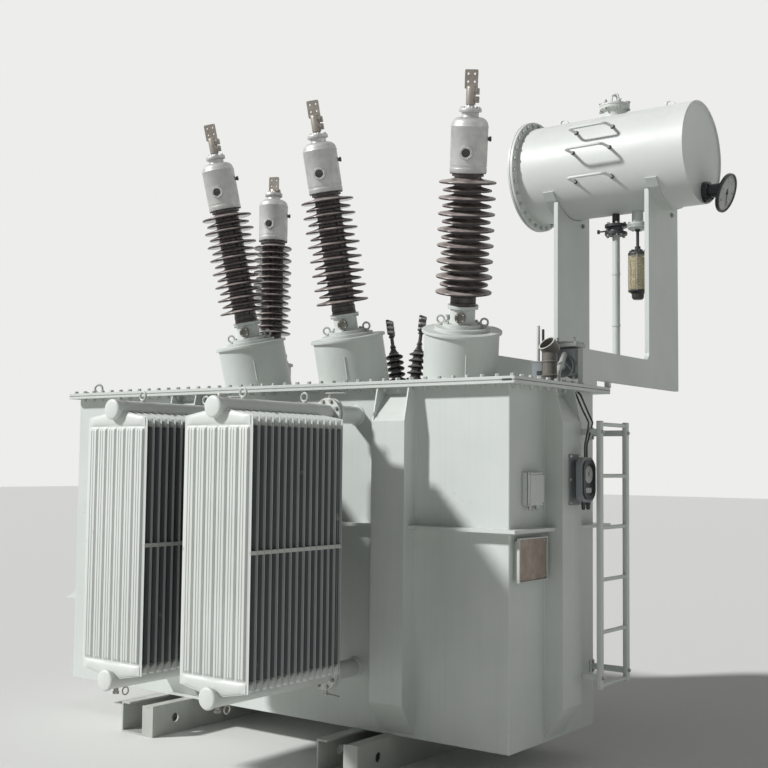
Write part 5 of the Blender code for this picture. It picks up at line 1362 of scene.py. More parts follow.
    def terminal(self, place: Matrix) -> None:
        """The split clamp on the stud and the flag with its four holes."""
        made = Shape()
        low = 0.016 - self.clamp
        made.lathe([(0.026, low), (0.028, low + 0.002), (0.028, 0.004), (0.024, 0.012), (0, 0.014)], 28,
                   place)
        made.block((0.052, 0.020, 0.030), place @ above(0.004), 0.003)
        for share in ((0.28, 0.72) if self.clamp > 0.05 else (0.5,)):
            tall = min(0.036, self.clamp * 0.8)
            ear = place @ at(0.034, 0, low + share * self.clamp)
            for side in (-1, 1):
                made.block((0.028, 0.013, tall), ear @ at(0, side * 0.010, 0), 0.002)
                made.bolt(facing_front(ear) @ (turn(180, "X") if side > 0 else IDENTITY) @ above(0.0165),
                          0.015)
        outline = [(u, v + 0.054) for u, v in round_outline(0.075, 0.108, 0.006, 3)]
        holes = [disc_outline(0.013, 14, (u, v)) for u in (-0.019, 0.019) for v in (0.040, 0.084)]
        made.plate(outline, holes, -0.008, 0.008, facing_front(place))
        made.finish(f"bushing_head_{self.label}_terminal", TERMINAL_METAL)

    def build(self) -> None:
        """Build the bushing from the turret up."""
        self.turret()
        self.insulator()
        self.head_unit()


@dataclass
class Conservator:
    """The oil drum: shell, bolted cover, end plate, rungs and lugs."""

    place: Matrix
    radius: float = DRUM_RADIUS
    length: float = 1.310
    flange: float = 0.4075
    wall: float = 0.010
    cover_plate: float = 0.020
    ring_plate: float = 0.022
    step_angles: Triple = (33.0, 6.0, -27.0)
    step_width: float = 0.280
    step_reach: float = 0.130
    step_shift: float = -0.0105
    lugs: Pair = (-0.413, 0.420)

    def build(self) -> None:
        """Build the drum about its middle, with its axis along X."""
        along = self.place @ turn(90, "Y")
        half = self.length / 2
        left = -half + self.cover_plate + GAP
        ring = left + self.ring_plate
        radius, bore = self.radius, self.radius - self.wall
        made = Shape()
        made.lathe([(bore, left), (self.flange - 0.002, left), (self.flange, left + 0.002),
                    (self.flange, ring - 0.003), (self.flange - 0.003, ring), (radius + 0.006, ring),
                    (radius, ring + 0.007), (radius, half - 0.0015), (radius - 0.0015, half), (bore, half)],
                   112, along, closed=True)
        stubs = Shape()
        for angle in self.step_angles:
            self.rung(made, stubs, angle)
        stubs.finish("conservator_rung_stubs", CEMENT_METAL)
        for shift in self.lugs:
            outline = [(-0.052, -0.008), (0.052, -0.008)] + circle(0.052, 28)[:15]
            hole = disc_outline(0.036, 16, (0, 0.028))
            lug = facing_front(self.place @ at(shift, 0, radius - 0.003))
            made.plate(outline, [hole], -0.007, 0.007, lug)
        made.finish("conservator_drum", DRUM_ENAMEL, "conservator_shell", sharp=32)
        self.cover(along, -half)
        disc = bore - GAP
        end = half - 0.010 - 0.012
        plate = Shape().lathe([(disc, end), (disc, end + 0.010), (disc - 0.004, end + 0.012),
                               (disc - 0.030, end + 0.012)], 96, along)
        rim = [along @ Vector((u, v, end + 0.012)) for u, v in circle(disc, 80)]
        plate.bead(rim, 0.0045, closed=True)
        plate.finish("conservator_end_disc", DRUM_ENAMEL, "conservator_end_plate")

    def rung(self, made: Shape, stubs: Shape, angle: float) -> None:
        """One U-shaped rung, with the welded lugs at its roots."""
        turned = math.radians(angle)
        root = -self.radius * math.cos(turned) + 0.010
        tip = root - 0.010 - self.step_reach
        height = self.radius * math.sin(turned)
        half = self.step_width / 2
        x = self.step_shift
        corners = [(x - half, root, height), (x - half, tip, height), (x + half, tip, height),
                   (x + half, root, height)]
        made.tube(curved_path(corners, 0.030, 5), 0.010, 12, self.place)
        for side in (-half, half):
            foot = self.place @ at(x + side, root - 0.010, height) @ turn(angle, "X") @ turn(90, "X")
            stubs.lathe([(0.015, -0.006), (0.015, 0.003), (0.0115, 0.008), (0.0115, 0.018)], 14, foot)

    def cover(self, along: Matrix, left: float) -> None:
        """The bolted cover at the left, with bolts all round and a gasket line."""
        outer = self.flange
        made = Shape()
        made.lathe([(outer - 0.10, left + 0.004), (outer - 0.09, left), (outer - 0.003, left),
                    (outer, left + 0.003), (outer, left + self.cover_plate - 0.002),
                    (outer - 0.002, left + self.cover_plate)], 112, along)
        made.finish("conservator_end_cover", DRUM_ENAMEL, "conservator_cover")
        bolts = Shape()
        count = 28
        bolts.bolt_ring(along, ring_of(count, (self.radius + outer) / 2 + 0.002, 90 / count), left + 0.001,
                        0.022, 0.0085, False, under=True)
        bolts.bolt_ring(along, ring_of(count, (self.radius + outer) / 2 + 0.002, 90 / count),
                        left + self.cover_plate + GAP + self.ring_plate, 0.026)
        bolts.finish("conservator_bolts", FITTING_ENAMEL)
        gasket = Shape()
        gasket.lathe([(outer - 0.020, left + self.cover_plate - 0.0012),
                      (outer + 0.0008, left + self.cover_plate - 0.0012),
                      (outer + 0.0008, left + self.cover_plate + 0.0015),
                      (outer - 0.020, left + self.cover_plate + 0.0015)], 112, along, closed=True)
        gasket.finish("conservator_gasket", CORK)


@dataclass
class LowVoltageBushing:
    """A small porcelain bushing with its stud, nuts and laminated flexible flag."""

    label: str
    place: Matrix
    base: float = 0.0525
    base_height: float = 0.070
    core: float = 0.035
    shed: float = 0.0625
    shed_count: int = 5
    porcelain: float = 0.215
    stud_height: float = 0.150
    flag: Triple = (0.016, 0.070, 0.110)

    def build(self) -> None:
        """Build the bushing from its clamped foot to its flag."""
        foot = Shape().lathe([(self.base, -0.02), (self.base, 0.020), (self.base - 0.002, 0.022),
                              (0.044, 0.022), (0.042, 0.030), (0.042, 0.056), (0.038, 0.062)], 36,
                             self.place, floor=COVER_TOP + GAP)
        foot.bolt_ring(self.place, ring_of(4, 0.047, 45), 0.022, 0.012, washer=False)
        foot.finish(f"lv_bushing_{self.label}_foot", CEMENT_METAL)
        pitch = self.porcelain / self.shed_count
        profile: list[Pair] = [(self.core - 0.002, 0.060), (self.core, self.base_height)]
        for index in range(self.shed_count):
            low, edge, deep = self.base_height + index * pitch, self.shed, self.shed - self.core
            profile += [(self.core, low + 0.04 * pitch), (edge - 0.007, low + 0.14 * pitch),
                        (edge - 0.002, low + 0.17 * pitch), (edge, low + 0.26 * pitch),
                        (edge - 0.002, low + 0.35 * pitch), (self.core + 0.4 * deep, low + 0.52 * pitch),
                        (self.core, low + 0.72 * pitch), (self.core, low + 0.97 * pitch)]
        top = self.base_height + self.porcelain
        profile += [(self.core - 0.006, top)]
        made = Shape().lathe(profile, 40, self.place)
        made.finish(f"lv_bushing_{self.label}_sheds", DARK_GLAZE, f"lv_bushing_{self.label}", sharp=50)
        stud = Shape().lathe([(0.026, top), (0.026, top + 0.012), (0.0125, top + 0.014),
                              (0.0125, top + self.stud_height)], 20, self.place)
        for height in (0.018, 0.040, 0.118):
            stud.bolt(self.place @ above(top + height), 0.036, 0.014)
        thick, wide, tall = self.flag
        foot_z = top + self.stud_height - 0.016
        for leaf in range(4):
            x = -thick / 2 + 0.0015 + leaf * (thick - 0.003) / 3
            stud.block((0.0026, wide, tall), self.place @ at(x, 0, foot_z + tall / 2), 0.001)
        stud.finish(f"lv_bushing_{self.label}_stud", CEMENT_METAL)
        bars = Shape()
        for height in (0.022, 0.056, 0.092):
            bar = self.place @ above(foot_z + height) @ turn(9, "X")
            bars.block((thick + 0.005, wide + 0.002, 0.014), bar, 0.002)
            for side in (-0.022, 0.022):
                head = self.place @ at(thick / 2 + 0.002, side, foot_z + height) @ turn(90, "Y")
                bars.bolt(head, 0.012, washer=False)
        bars.finish(f"lv_bushing_{self.label}_bars", HEAD_METAL)


@dataclass
class Filler:
    """The filler on top of the drum, with its swing bolts and lifting rings."""

    place: Matrix
    neck: float = 0.075
    lid: float = 0.1075
    lid_low: float = 0.055
    lid_top: float = 0.089
    ring_height: float = 0.070
    ring_half: float = 0.035

    def build(self) -> None:
        """Build neck, lid, dome, rings and six swing bolts."""
        made = Shape()
        made.lathe([(self.neck, -0.009), (self.neck, 0.040), (self.neck + 0.006, 0.050),
                    (self.lid - 0.001, 0.052), (self.lid, self.lid_low), (self.lid, 0.068),
                    (self.lid - 0.003, 0.0695), (self.lid - 0.003, 0.0725), (self.lid, 0.074),
                    (self.lid, self.lid_top - 0.003), (self.lid - 0.003, self.lid_top),
                    (0.052, self.lid_top), (0.048, self.lid_top + 0.005), (0.040, self.lid_top + 0.016),
                    (0.025, self.lid_top + 0.024), (0, self.lid_top + 0.026)], 56, self.place)
        seat = self.lid_top + 0.0125
        for angle, share in ((0.0, 1.0), (62.0, 0.84)):
            half, rise = self.ring_half * share, self.ring_height * share
            corners = [(-half, 0, seat), (-half * 0.7, 0, seat + rise), (half * 0.7, 0, seat + rise),
                       (half, 0, seat)]
            made.tube(curved_path(corners, 0.018, 6), 0.007, 10, self.place @ turn(angle, "Z"))
        seam = []
        for u, v in circle(self.neck, 40):
            drop = -DRUM_RADIUS + math.sqrt(DRUM_RADIUS ** 2 - v ** 2)
            seam.append(self.place @ Vector((u, v, drop + 0.002)))
        made.bead(seam, 0.005, closed=True)
        made.finish("filler_neck_and_lid", DRUM_ENAMEL, "filler_cap")
        steel = Shape()
        for spoke in ring_of(6, self.lid - 0.012, 15):
            post = self.place @ spoke
            steel.block((0.026, 0.018, 0.014), post @ at(0.004, 0, 0.045), 0.003)
            steel.lathe([(0.006, 0.04), (0.006, 0.112), (0, 0.113)], 10, post)
            steel.bolt(post @ above(self.lid_top), 0.024, 0.011)
            steel.block((0.040, 0.008, 0.012), post @ above(0.104) @ turn(35, "Z"), 0.003)
        steel.finish("filler_swing_bolts", FITTING_ENAMEL)


@dataclass
class Breather:
    """The dryer that hangs from the drum: flange, tube, dark cap, glass jar of beads and oil cup."""

    place: Matrix
    pipe: float = 0.040
    flange: float = 0.070
    flange_top: float = -0.085
    flange_low: float = -0.130
    tube_low: float = -0.275
    lid_low: float = -0.311
    jar: float = 0.063
    jar_low: float = -0.5653
    cup: float = 0.0425
    cup_low: float = -0.6303

    def build(self) -> None:
        """Build the hanger in enamel, then the dryer in its four materials."""
        made = Shape()
        made.lathe([(self.pipe, 0.006), (self.pipe, self.flange_top),
                    (self.flange, self.flange_top - 0.001), (self.flange, -0.102),
                    (self.flange - 0.002, -0.104), (self.flange - 0.002, -0.107), (self.flange, -0.109),
                    (self.flange, -0.122), (self.flange - 0.012, self.flange_low)], 44, self.place)
        made.finish("breather_hanger_flanges", ENAMEL, "breather_hanger")
        steel = Shape()
        steel.bolt_ring(self.place, ring_of(6, 0.057, 30), self.flange_top, 0.018)
        steel.bolt_ring(self.place, ring_of(6, 0.057, 30), -0.122, 0.018, under=True)
        steel.tube(curved_path([(-0.060, 0, -0.105), (-0.105, -0.02, -0.105), (-0.118, -0.02, -0.070)],
                               0.012, 4), 0.006, 8, self.place)
        steel.finish("breather_bolts", FITTING_ENAMEL)
        dark = Shape()
        dark.lathe([(0.018, self.flange_low), (0.018, -0.142), (0.011, -0.146), (0.011, -0.250),
                    (0.020, -0.252), (0.020, self.tube_low - 0.006)], 24, self.place)
        dark.lathe([(0.034, self.tube_low), (0.036, -0.278), (0.036, -0.288), (0.058, -0.292),
                    (0.066, -0.297), (0.068, -0.301), (0.068, self.lid_low - 0.002), (0.066, self.lid_low)],
                   44, self.place)
        dark.bolt_ring(self.place, ring_of(6, 0.052, 10), -0.291, 0.020, 0.012, washer=False)
        low = self.jar_low
        dark.lathe([(0.067, low), (0.067, low - 0.009), (0.060, low - 0.013)], 44, self.place)
        cup = Shape().lathe([(0, low - 0.010), (0.056, low - 0.012), (0.046, low - 0.022),
                             (self.cup, low - 0.030), (self.cup, self.cup_low + 0.016),
                             (0.036, self.cup_low + 0.003), (0.030, self.cup_low)], 44, self.place)
        cup.finish("breather_oil_cup", CEMENT_METAL)
        stays = Shape()
        for spoke in ring_of(4, 0.0655, 20):
            stays.rod(0.0028, low - 0.006, self.lid_low + 0.005, 8, self.place @ spoke)
        stays.finish("breather_stays", ZINC)
        dark.finish("breather_dryer_cap", DARK_METAL, "breather_dryer")
        glass = Shape().lathe([(self.jar, self.lid_low), (self.jar, low), (self.jar - 0.004, low),
                               (self.jar - 0.004, self.lid_low)], 48, self.place, closed=True)
        glass.finish("breather_jar", JAR_GLASS)
        self.beads()

    def beads(self) -> None:
        """The column of beads, lumpy where they press on the glass."""
        rings, low, high = [], self.jar_low + 0.001, self.lid_low - 0.022
        rows, sides = 44, 72
        for row in range(rows + 1):
            z = low + (high - low) * row / rows
            ring = []
            for step in range(sides):
                a = 2 * math.pi * step / sides
                where = Vector((math.cos(a), math.sin(a), 0)) * 0.056 + Vector((0, 0, z))
                lump = noise.voronoi(where / 0.010)[0][0]
                radius = 0.0578 - 0.0035 * lump
                ring.append(Vector((radius * math.cos(a), radius * math.sin(a), z)))
            rings.append(ring)
        column = Shape().rings([[Vector((0, 0, low))], *rings, [Vector((0, 0, high + 0.006))]], self.place)
        column.finish("breather_beads", BEADS)


@dataclass
class Pipework:
    """Oil pipe, gas relay, drum valve and relief valve between cover and drum."""

    x: float = 1.5625
    radius: float = 0.027
    rise: float = 0.155
    seat_y: float = 0.500
    bend: float = 0.080
    relay_y: float = 0.715
    relay_half: float = 0.090
    drum_low: float = 3.6046
    valve_drop: float = 0.1525
    relief: Pair = (1.6475, 0.300)
    pocket: Pair = (1.538, 0.360)

    def build(self) -> None:
        """Build the run from the cover to the drum."""
        low = COVER_TOP + self.rise
        valve_low = self.drum_low - self.valve_drop
        made = Shape()
        front = [(self.x, self.seat_y, COVER_TOP + GAP), (self.x, self.seat_y, low),
                 (self.x, self.relay_y - self.relay_half - GAP, low)]
        made.tube(curved_path(front, self.bend, 8), self.radius, 24, spot(0, 0, 0))
        made.lathe([(0.065, 0), (0.065, 0.014), (0.063, 0.016), (0.031, 0.016), (0.028, 0.022)], 36,
                   spot(self.x, self.seat_y, COVER_TOP + GAP))
        made.finish("oil_pipe_front_run", ENAMEL, "oil_pipe_front")
        rear_run = Shape()
        rear = [(self.x, self.relay_y + self.relay_half + GAP, low), (self.x, DRUM_Y, low),
                (self.x, DRUM_Y, valve_low - GAP)]
        rear_run.tube(curved_path(rear, self.bend, 8), self.radius, 24, spot(0, 0, 0))
        for height in (0.35, 0.72):
            band = spot(self.x, DRUM_Y, low + (valve_low - low) * height)
            rear_run.rod(0.0295, -0.010, 0.010, 24, band)
        rear_run.finish("oil_pipe_rear_run", ENAMEL, "oil_pipe_rear")
        self.valve(spot(self.x, DRUM_Y, valve_low))
        self.relay(spot(self.x, self.relay_y, low))
        self.relief_valve(spot(*self.relief, COVER_TOP + GAP))
        self.oil_thermometer(spot(*self.pocket, COVER_TOP + GAP))
        bolts = Shape()
        bolts.bolt_ring(spot(self.x, self.seat_y, COVER_TOP + 0.016), ring_of(4, 0.047, 45), 0, 0.020)
        bolts.finish("oil_pipe_bolts", ZINC)

    def valve(self, place: Matrix) -> None:
        """The butterfly valve under the drum, with its lever and bolts."""
        made = Shape()
        made.lathe([(0.080, 0), (0.080, 0.019), (0.078, 0.021), (0.056, 0.021), (0.053, 0.028),
                    (0.053, 0.047), (0.056, 0.054), (0.078, 0.054), (0.080, 0.056), (0.080, 0.075),
                    (0.040, 0.075), (0.029, 0.082), (0.027, 0.090), (0.027, 0.158)], 44, place)
        made.rod(0.013, 0, 0.030, 12, place @ at(-0.048, 0, 0.0375) @ turn(-90, "Y"))
        made.block((0.088, 0.022, 0.009), place @ at(-0.098, 0, 0.0375), 0.003)
        made.lathe([(0.009, -0.014), (0.011, 0), (0.009, 0.014)], 12, place @ at(-0.138, 0, 0.0375))
        made.finish("drum_valve_body", DARK_METAL, "drum_valve")
        steel = Shape()
        steel.bolt_ring(place, ring_of(6, 0.066, 0), 0.075, 0.022)
        steel.bolt_ring(place, ring_of(6, 0.066, 0), 0, 0.022, under=True)
        steel.finish("drum_valve_bolts", ZINC)

    def relay(self, place: Matrix) -> None:
        """The gas relay: flanged casting, windows on both sides, light lid with cocks."""
        along = place @ turn(-90, "X")
        half = self.relay_half
        made = Shape()
        made.lathe([(0.075, -half), (0.075, -half + 0.016), (0.072, -half + 0.018), (0.056, -half + 0.020),
                    (0.054, -half + 0.026), (0.054, half - 0.026), (0.056, half - 0.020),
                    (0.072, half - 0.018), (0.075, half - 0.016), (0.075, half)], 44, along)
        made.block((0.156, 0.104, 0.170), place @ above(0.0405), 0.010)
        for side in (-1, 1):
            made.block((0.012, 0.084, 0.092), place @ at(side * 0.078, 0, 0.055), 0.004)
        made.finish("gas_relay_casting", INSTRUMENT_ENAMEL, "gas_relay", slot=Slot.DARK)
        lid = Shape().block((0.183, 0.142, 0.024), place @ above(0.139), 0.005)
        lid.block((0.120, 0.100, 0.022), place @ at(0.012, 0, 0.160), 0.006)
        for x in (-0.068, 0.055):
            lid.lathe([(0.010, 0.15), (0.010, 0.176), (0.006, 0.178), (0.006, 0.188), (0.012, 0.189),
                       (0.012, 0.194), (0, 0.195)], 14, place @ at(x, -0.02, 0))
        lid.finish("gas_relay_lid", FITTING_ENAMEL)
        glass = Shape()
        for side in (-1, 1):
            glass.block((0.004, 0.058, 0.066), place @ at(side * 0.0845, 0, 0.055), 0.0015)
        glass.finish("gas_relay_windows", OIL_GLASS)
        steel = Shape()
        steel.bolt_ring(along, ring_of(6, 0.063, 30), -half + 0.018, 0.018)
        steel.bolt_ring(along, ring_of(6, 0.063, 30), half - 0.018, 0.018, under=True)
        for x, y in CORNERS:
            steel.bolt(place @ at(0.078 * x, 0.056 * y, 0.151), 0.018)
        steel.finish("gas_relay_bolts", DRUM_ENAMEL)

    def relief_valve(self, place: Matrix) -> None:
        """The relief valve: bolted foot, ribbed spring housing and a tilted hood."""
        made = Shape()
        made.lathe([(0.090, 0), (0.090, 0.016), (0.088, 0.018), (0.060, 0.018), (0.048, 0.024),
                    (0.046, 0.060), (0.051, 0.063), (0.051, 0.070), (0.046, 0.073), (0.046, 0.148),
                    (0.051, 0.151), (0.051, 0.158), (0.046, 0.161), (0.046, 0.215)], 44, place)
        hood = place @ above(0.2455) @ turn(-18, "Y") @ turn(42, "X")
        made.lathe([(0.052, -0.0375), (0.0575, -0.022), (0.0575, 0.030), (0.0575, 0.0375), (0.0480, 0.0375),
                    (0.0475, 0.0)], 44, hood)
        made.finish("relief_valve_body", RELIEF_ENAMEL, "relief_valve")
        trim = Shape()
        trim.lathe([(0.0500, 0.036), (0.0590, 0.036), (0.0590, 0.0395), (0.0500, 0.0395)], 44, hood,
                   closed=True)
        trim.bolt_ring(place, ring_of(8, 0.075, 22.5), 0.018, 0.018)
        link = [(0.0, 0.105, 0.0), (0.0, 0.105, 0.100), (-0.032, 0.215, 0.165), (-0.075, 0.338, 0.232)]
        trim.tube(curved_path(link, 0.040, 6), 0.019, 16, place)
        trim.lathe([(0.034, 0), (0.034, 0.012), (0.022, 0.016)], 24, place @ at(0, 0.105, 0))
        trim.tube([(0.045, 0.150, 0.024), (0.045, 0.330, 0.024)], 0.015, 14, place)
        trim.finish("relief_valve_trim", FITTING_ENAMEL)

    def oil_thermometer(self, pocket: Matrix) -> None:
        """The pocket of the oil thermometer with its dark pole and light stem."""
        box = Shape().block((0.078, 0.060, 0.165), pocket @ above(0.0825), 0.005)
        box.block((0.082, 0.064, 0.012), pocket @ above(0.160), 0.003)
        box.finish("oil_thermometer_pocket", INSTRUMENT_ENAMEL)
        dark = Shape().lathe([(0.0085, 0.16), (0.0085, 0.372), (0, 0.374)], 14,
                             pocket @ at(0.022, 0.012, 0))
        dark.block((0.034, 0.004, 0.026), pocket @ at(0.016, -0.0305, 0.090), 0.001)
        dark.finish("oil_thermometer_pole", DARK_METAL)
        pole = Shape().lathe([(0.0105, 0.16), (0.0105, 0.392), (0.0085, 0.396)], 16,
                             pocket @ at(-0.004, -0.004, 0))
        pole.finish("oil_thermometer_stem", FITTING_ENAMEL)


@dataclass
class OilGauge:
    """The magnetic oil gauge: boss, stem and a tilted dial with a pointer."""

    place: Matrix
    rim: float = 0.135
    inner: float = 0.121
    reach: float = 0.143
    sag: float = 0.022
    tilt: float = 20.0
    marks: tuple[str, ...] = ("0", "2", "4", "6", "8", "10")

    def build(self) -> None:
        """Build the gauge on the drum's end plate."""
        along = self.place @ turn(90, "Y")
        made = Shape()
        made.lathe([(0.070, 0), (0.070, 0.036), (0.066, 0.040), (0.0475, 0.040), (0.0475, self.reach)], 44,
                   along)
        hub = self.place @ at(self.reach, 0, -self.sag)
        dial = hub @ turn(90, "Y") @ turn(self.tilt, "Y") @ above(0.0225)
        made.lathe([(0.048, -0.045), (0.090, -0.034), (self.rim - 0.003, -0.024), (self.rim, -0.019),
                    (self.rim, -0.003), (self.rim - 0.003, 0), (self.inner, 0), (self.inner, -0.008)], 64,
                   dial)
        made.bolt_ring(along, ring_of(4, 0.058, 45), 0.040, 0.018)
        made.finish("oil_gauge_case", DARK_METAL, "oil_gauge")
        # The gauge's card is drawn in the grey of painted shade
        card = Shape().rod(self.inner - 0.001, -0.009, -0.0065, 56, dial)
        card.finish("oil_gauge_card", SHADE_GREY_DIAL_CARD)
        ink = Shape()
        for step in range(31):
            angle = -135 + 9 * step
            long = 0.022 if step % 6 == 0 else 0.012
            ink.block((long, 0.0035 if step % 6 == 0 else 0.0022, 0.0008),
                      dial @ turn(angle + 180, "Z") @ at(self.inner - 0.006 - long / 2, 0, -0.0061), 0.0003)
        pointer = dial @ turn(28, "Z")
        ink.slab([(-0.030, -0.004), (0.088, -0.0012), (0.094, 0.0), (0.088, 0.0012), (-0.030, 0.004)],
                 -0.004, -0.002, pointer)
        ink.lathe([(0.012, -0.006), (0.012, -0.001), (0.008, 0.001)], 20, dial)
        ink.finish("oil_gauge_pointer_and_marks", DIAL_INK)
        for index, text in enumerate(self.marks):
            angle = math.radians(-135 + 54 * index + 180)
            self.number(text, dial @ at(0.080 * math.cos(angle), 0.080 * math.sin(angle),
                                        -0.0064) @ turn(-90, "Z"))

    def number(self, text: str, place: Matrix) -> None:
        """One number of the dial."""
        curve = bpy.data.curves.new(f"oil_gauge_number_{text}", "FONT")
        curve.body = text
        curve.size = 0.022
        curve.extrude = 0.0003
        curve.align_x, curve.align_y = "CENTER", "CENTER"
        curve.materials.append(DIAL_INK.material())
        made = bpy.data.objects.new(f"oil_gauge_number_{text}", curve)
        bpy.context.scene.collection.objects.link(made)
        made.matrix_world = place
        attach(made, "root")


def end_wall(out: float, y: float, z: float) -> Matrix:
    """A place off the right end wall: local X runs to +Y, local Y up and local Z out of the wall."""
    turned = Matrix(((0, 0, 1, 0), (1, 0, 0, 0), (0, 1, 0, 0), (0, 0, 0, 1)))
    return spot(RIGHT_WALL + GAP + out, y, z) @ turned


@dataclass
class EndWallFittings:
    """Ladder, rating plate, small box and thermometer on the right end wall, and bracket bolts."""

    ladder_y: float = 0.3085
    ladder_width: float = 0.355
    ladder_lift: float = 0.315
    rung_pitch: float = 0.3065
    rungs: int = 6
    standoff: float = 0.235
    holder: Triple = (0.330, 0.250, 0.045)
    holder_at: Pair = (-0.320, 1.065)
    box: Triple = (0.180, 0.190, 0.045)
    box_at: Pair = (-0.292, 1.465)
    dial_at: Pair = (0.045, 1.5175)
    back_y: float = 0.020
    dial_standoff: float = 0.1203

    def ladder(self) -> None:
        """Two flat stiles, round rungs with weld collars and four wall brackets."""
        made, bolts = Shape(), Shape()
        bottom = TANK_BOTTOM + self.ladder_lift
        length = (self.rungs - 1) * self.rung_pitch
        for side in (-1, 1):
            y = self.ladder_y + side * self.ladder_width / 2
            made.block((0.030, 0.040, length + 0.040),
                       spot(RIGHT_WALL + self.standoff, y, bottom + length / 2), 0.003)
            for z in (bottom + 0.045, bottom + length - 0.045):
                made.block((self.standoff - 0.016, 0.016, 0.036),
                           spot(RIGHT_WALL + self.standoff / 2 - 0.006, y, z), 0.002)
                made.block((0.008, 0.055, 0.075), spot(RIGHT_WALL + 0.0045, y, z), 0.002)
                for lift in (-0.026, 0.026):
                    bolts.bolt(end_wall(0.008, y, z + lift), 0.018)
                bolts.bolt(end_wall(self.standoff + 0.0148, y, z), 0.020)
        for index in range(self.rungs):
            z = bottom + index * self.rung_pitch
            place = spot(RIGHT_WALL + self.standoff, self.ladder_y - self.ladder_width / 2 + 0.01,
                         z) @ turn(-90, "X")
            span = self.ladder_width - 0.02
            made.lathe([(0.012, 0), (0.016, 0.011), (0.0155, 0.013), (0.012, 0.015), (0.012, span - 0.015),
                        (0.0155, span - 0.013), (0.016, span - 0.011), (0.012, span)], 18, place)
        made.finish("ladder_stiles_and_rungs", ENAMEL, "ladder")
        bolts.finish("ladder_bolts", ZINC)

    def rating_plate(self) -> None:
        """The light holder with its bare copper-brown plate under four rivets."""
        wide, tall, deep = self.holder
        place = end_wall(0, self.holder_at[0], TANK_BOTTOM + self.holder_at[1])
        made = Shape().plate(round_outline(wide, tall, 0.004, 3),
                             [round_outline(wide - 0.016, tall - 0.016, 0.003, 3)], deep - 0.016, deep,
                             place)
        made.slab(round_outline(wide - 0.006, tall - 0.006, 0.004, 3), deep - 0.020, deep - 0.014, place,
                  0.002)
        for x in (-wide / 2 + 0.03, wide / 2 - 0.03):
            made.block((0.030, tall - 0.03, deep - 0.018), place @ at(x, 0, (deep - 0.018) / 2), 0.003)
        made.finish("rating_plate_holder", FITTING_ENAMEL, "plate_holder")
        sheet = Shape().slab(round_outline(wide - 0.018, tall - 0.018, 0.003, 3), deep - 0.014,
                             deep - 0.0105, place, 0.001)
        sheet.plate(round_outline(wide - 0.052, tall - 0.052, 0.005, 3),
                    [round_outline(wide - 0.058, tall - 0.058, 0.004, 3)], deep - 0.011, deep - 0.0100,
                    place)
        sheet.finish("rating_plate_bare", PLATE_METAL)
        rivets = Shape()
        for x, y in CORNERS:
            rivets.lathe([(0.007, 0), (0.0055, 0.003), (0, 0.0042)], 14,
                         place @ at(x * (wide / 2 - 0.022), y * (tall / 2 - 0.022), deep - 0.0105))
        rivets.finish("rating_plate_rivets", ZINC)

    def small_box(self) -> None:
        """The shallow terminal box with a screwed lid and two glands."""
        wide, tall, deep = self.box
        place = end_wall(0, self.box_at[0], TANK_BOTTOM + self.box_at[1])
        made = Shape().slab(round_outline(wide, tall, 0.005, 3), 0, deep - 0.012, place, 0.003)
        made.slab(round_outline(wide, tall, 0.005, 3), deep - 0.009, deep, place, 0.002)
        made.slab(round_outline(wide - 0.03, tall - 0.03, 0.004, 3), deep - 0.001, deep + 0.005, place,
                  0.002)
        made.finish("small_box_and_lid", ENAMEL, "small_terminal_box")
        screws = Shape()
        for x, y in CORNERS:
            corner = place @ at(x * (wide / 2 - 0.0095), y * (tall / 2 - 0.0095), deep)
            screws.bolt(corner, 0.010, washer=False)
        for x in (-0.04, 0.04):
            gland = place @ at(x, -tall / 2, deep / 2) @ turn(90, "X")
            screws.lathe([(0.012, -0.002), (0.012, 0.010), (0.009, 0.012), (0.009, 0.024), (0, 0.026)], 12,
                         gland)
        screws.finish("small_box_screws", ZINC)
        seal = Shape().slab(round_outline(wide - 0.004, tall - 0.004, 0.004, 3), deep - 0.0122,
                            deep - 0.0088, place)
        seal.finish("small_box_seal", RUBBER)

    def thermometer(self) -> None:
        """The dial thermometer on its back plate, with glands below and capillaries above."""
        middle = TANK_BOTTOM + self.dial_at[1]
        base = end_wall(self.dial_standoff, self.back_y, middle)
        back = Shape().slab(round_outline(0.130, 0.300, 0.006, 3), 0, 0.008, base, 0.0015)
        for z in (-0.1, 0.1):
            back.rod(0.015, 0.004, 0.045, 18, base @ at(0.018, z, 0))
        face = end_wall(self.dial_standoff + 0.043, self.dial_at[0], middle)
        back.slab(round_outline(0.170, 0.265, 0.055, 8), 0, 0.040, face, 0.004)
        back.finish("thermometer_case", INSTRUMENT_ENAMEL, "dial_box")
        dark = Shape().plate(round_outline(0.152, 0.230, 0.056, 8), [round_outline(0.116, 0.190, 0.044, 8)],
                             0.036, 0.050, face)
        dark.slab(round_outline(0.118, 0.192, 0.045, 8), 0.036, 0.0415, face)
        for x in (-0.030, 0.030):
            gland = face @ at(x, -0.128, 0.0225) @ turn(90, "X")
            dark.lathe([(0.015, 0), (0.015, 0.018), (0.012, 0.020), (0.012, 0.038), (0.008, 0.048)], 18,
                       gland)
        dark.finish("thermometer_bezel", DARK_METAL)
        # The thermometer's card is drawn in the grey of painted shade
        card = Shape().slab(disc_outline(0.100, 36, (0, 0.030)), 0.0410, 0.0425, face)
        card.slab(round_outline(0.070, 0.030, 0.006, 3), 0.0410, 0.0422, face @ at(0, -0.062, 0))
        card.finish("thermometer_card", SHADE_GREY_DIAL_CARD)
        ink = Shape()
        for step in range(21):
            tick = face @ at(0, 0.030, 0.0427) @ turn(-30 + 12 * step, "Z")
            ink.block((0.010, 0.0016, 0.0006), tick @ at(0.041, 0, 0), 0.0002)
        for angle in (70, 128):
            ink.slab([(-0.008, -0.0025), (0.036, 0.0), (-0.008, 0.0025)], 0.0432, 0.0440,
                     face @ at(0, 0.030, 0) @ turn(angle, "Z"))
        ink.finish("thermometer_marks", DIAL_INK)
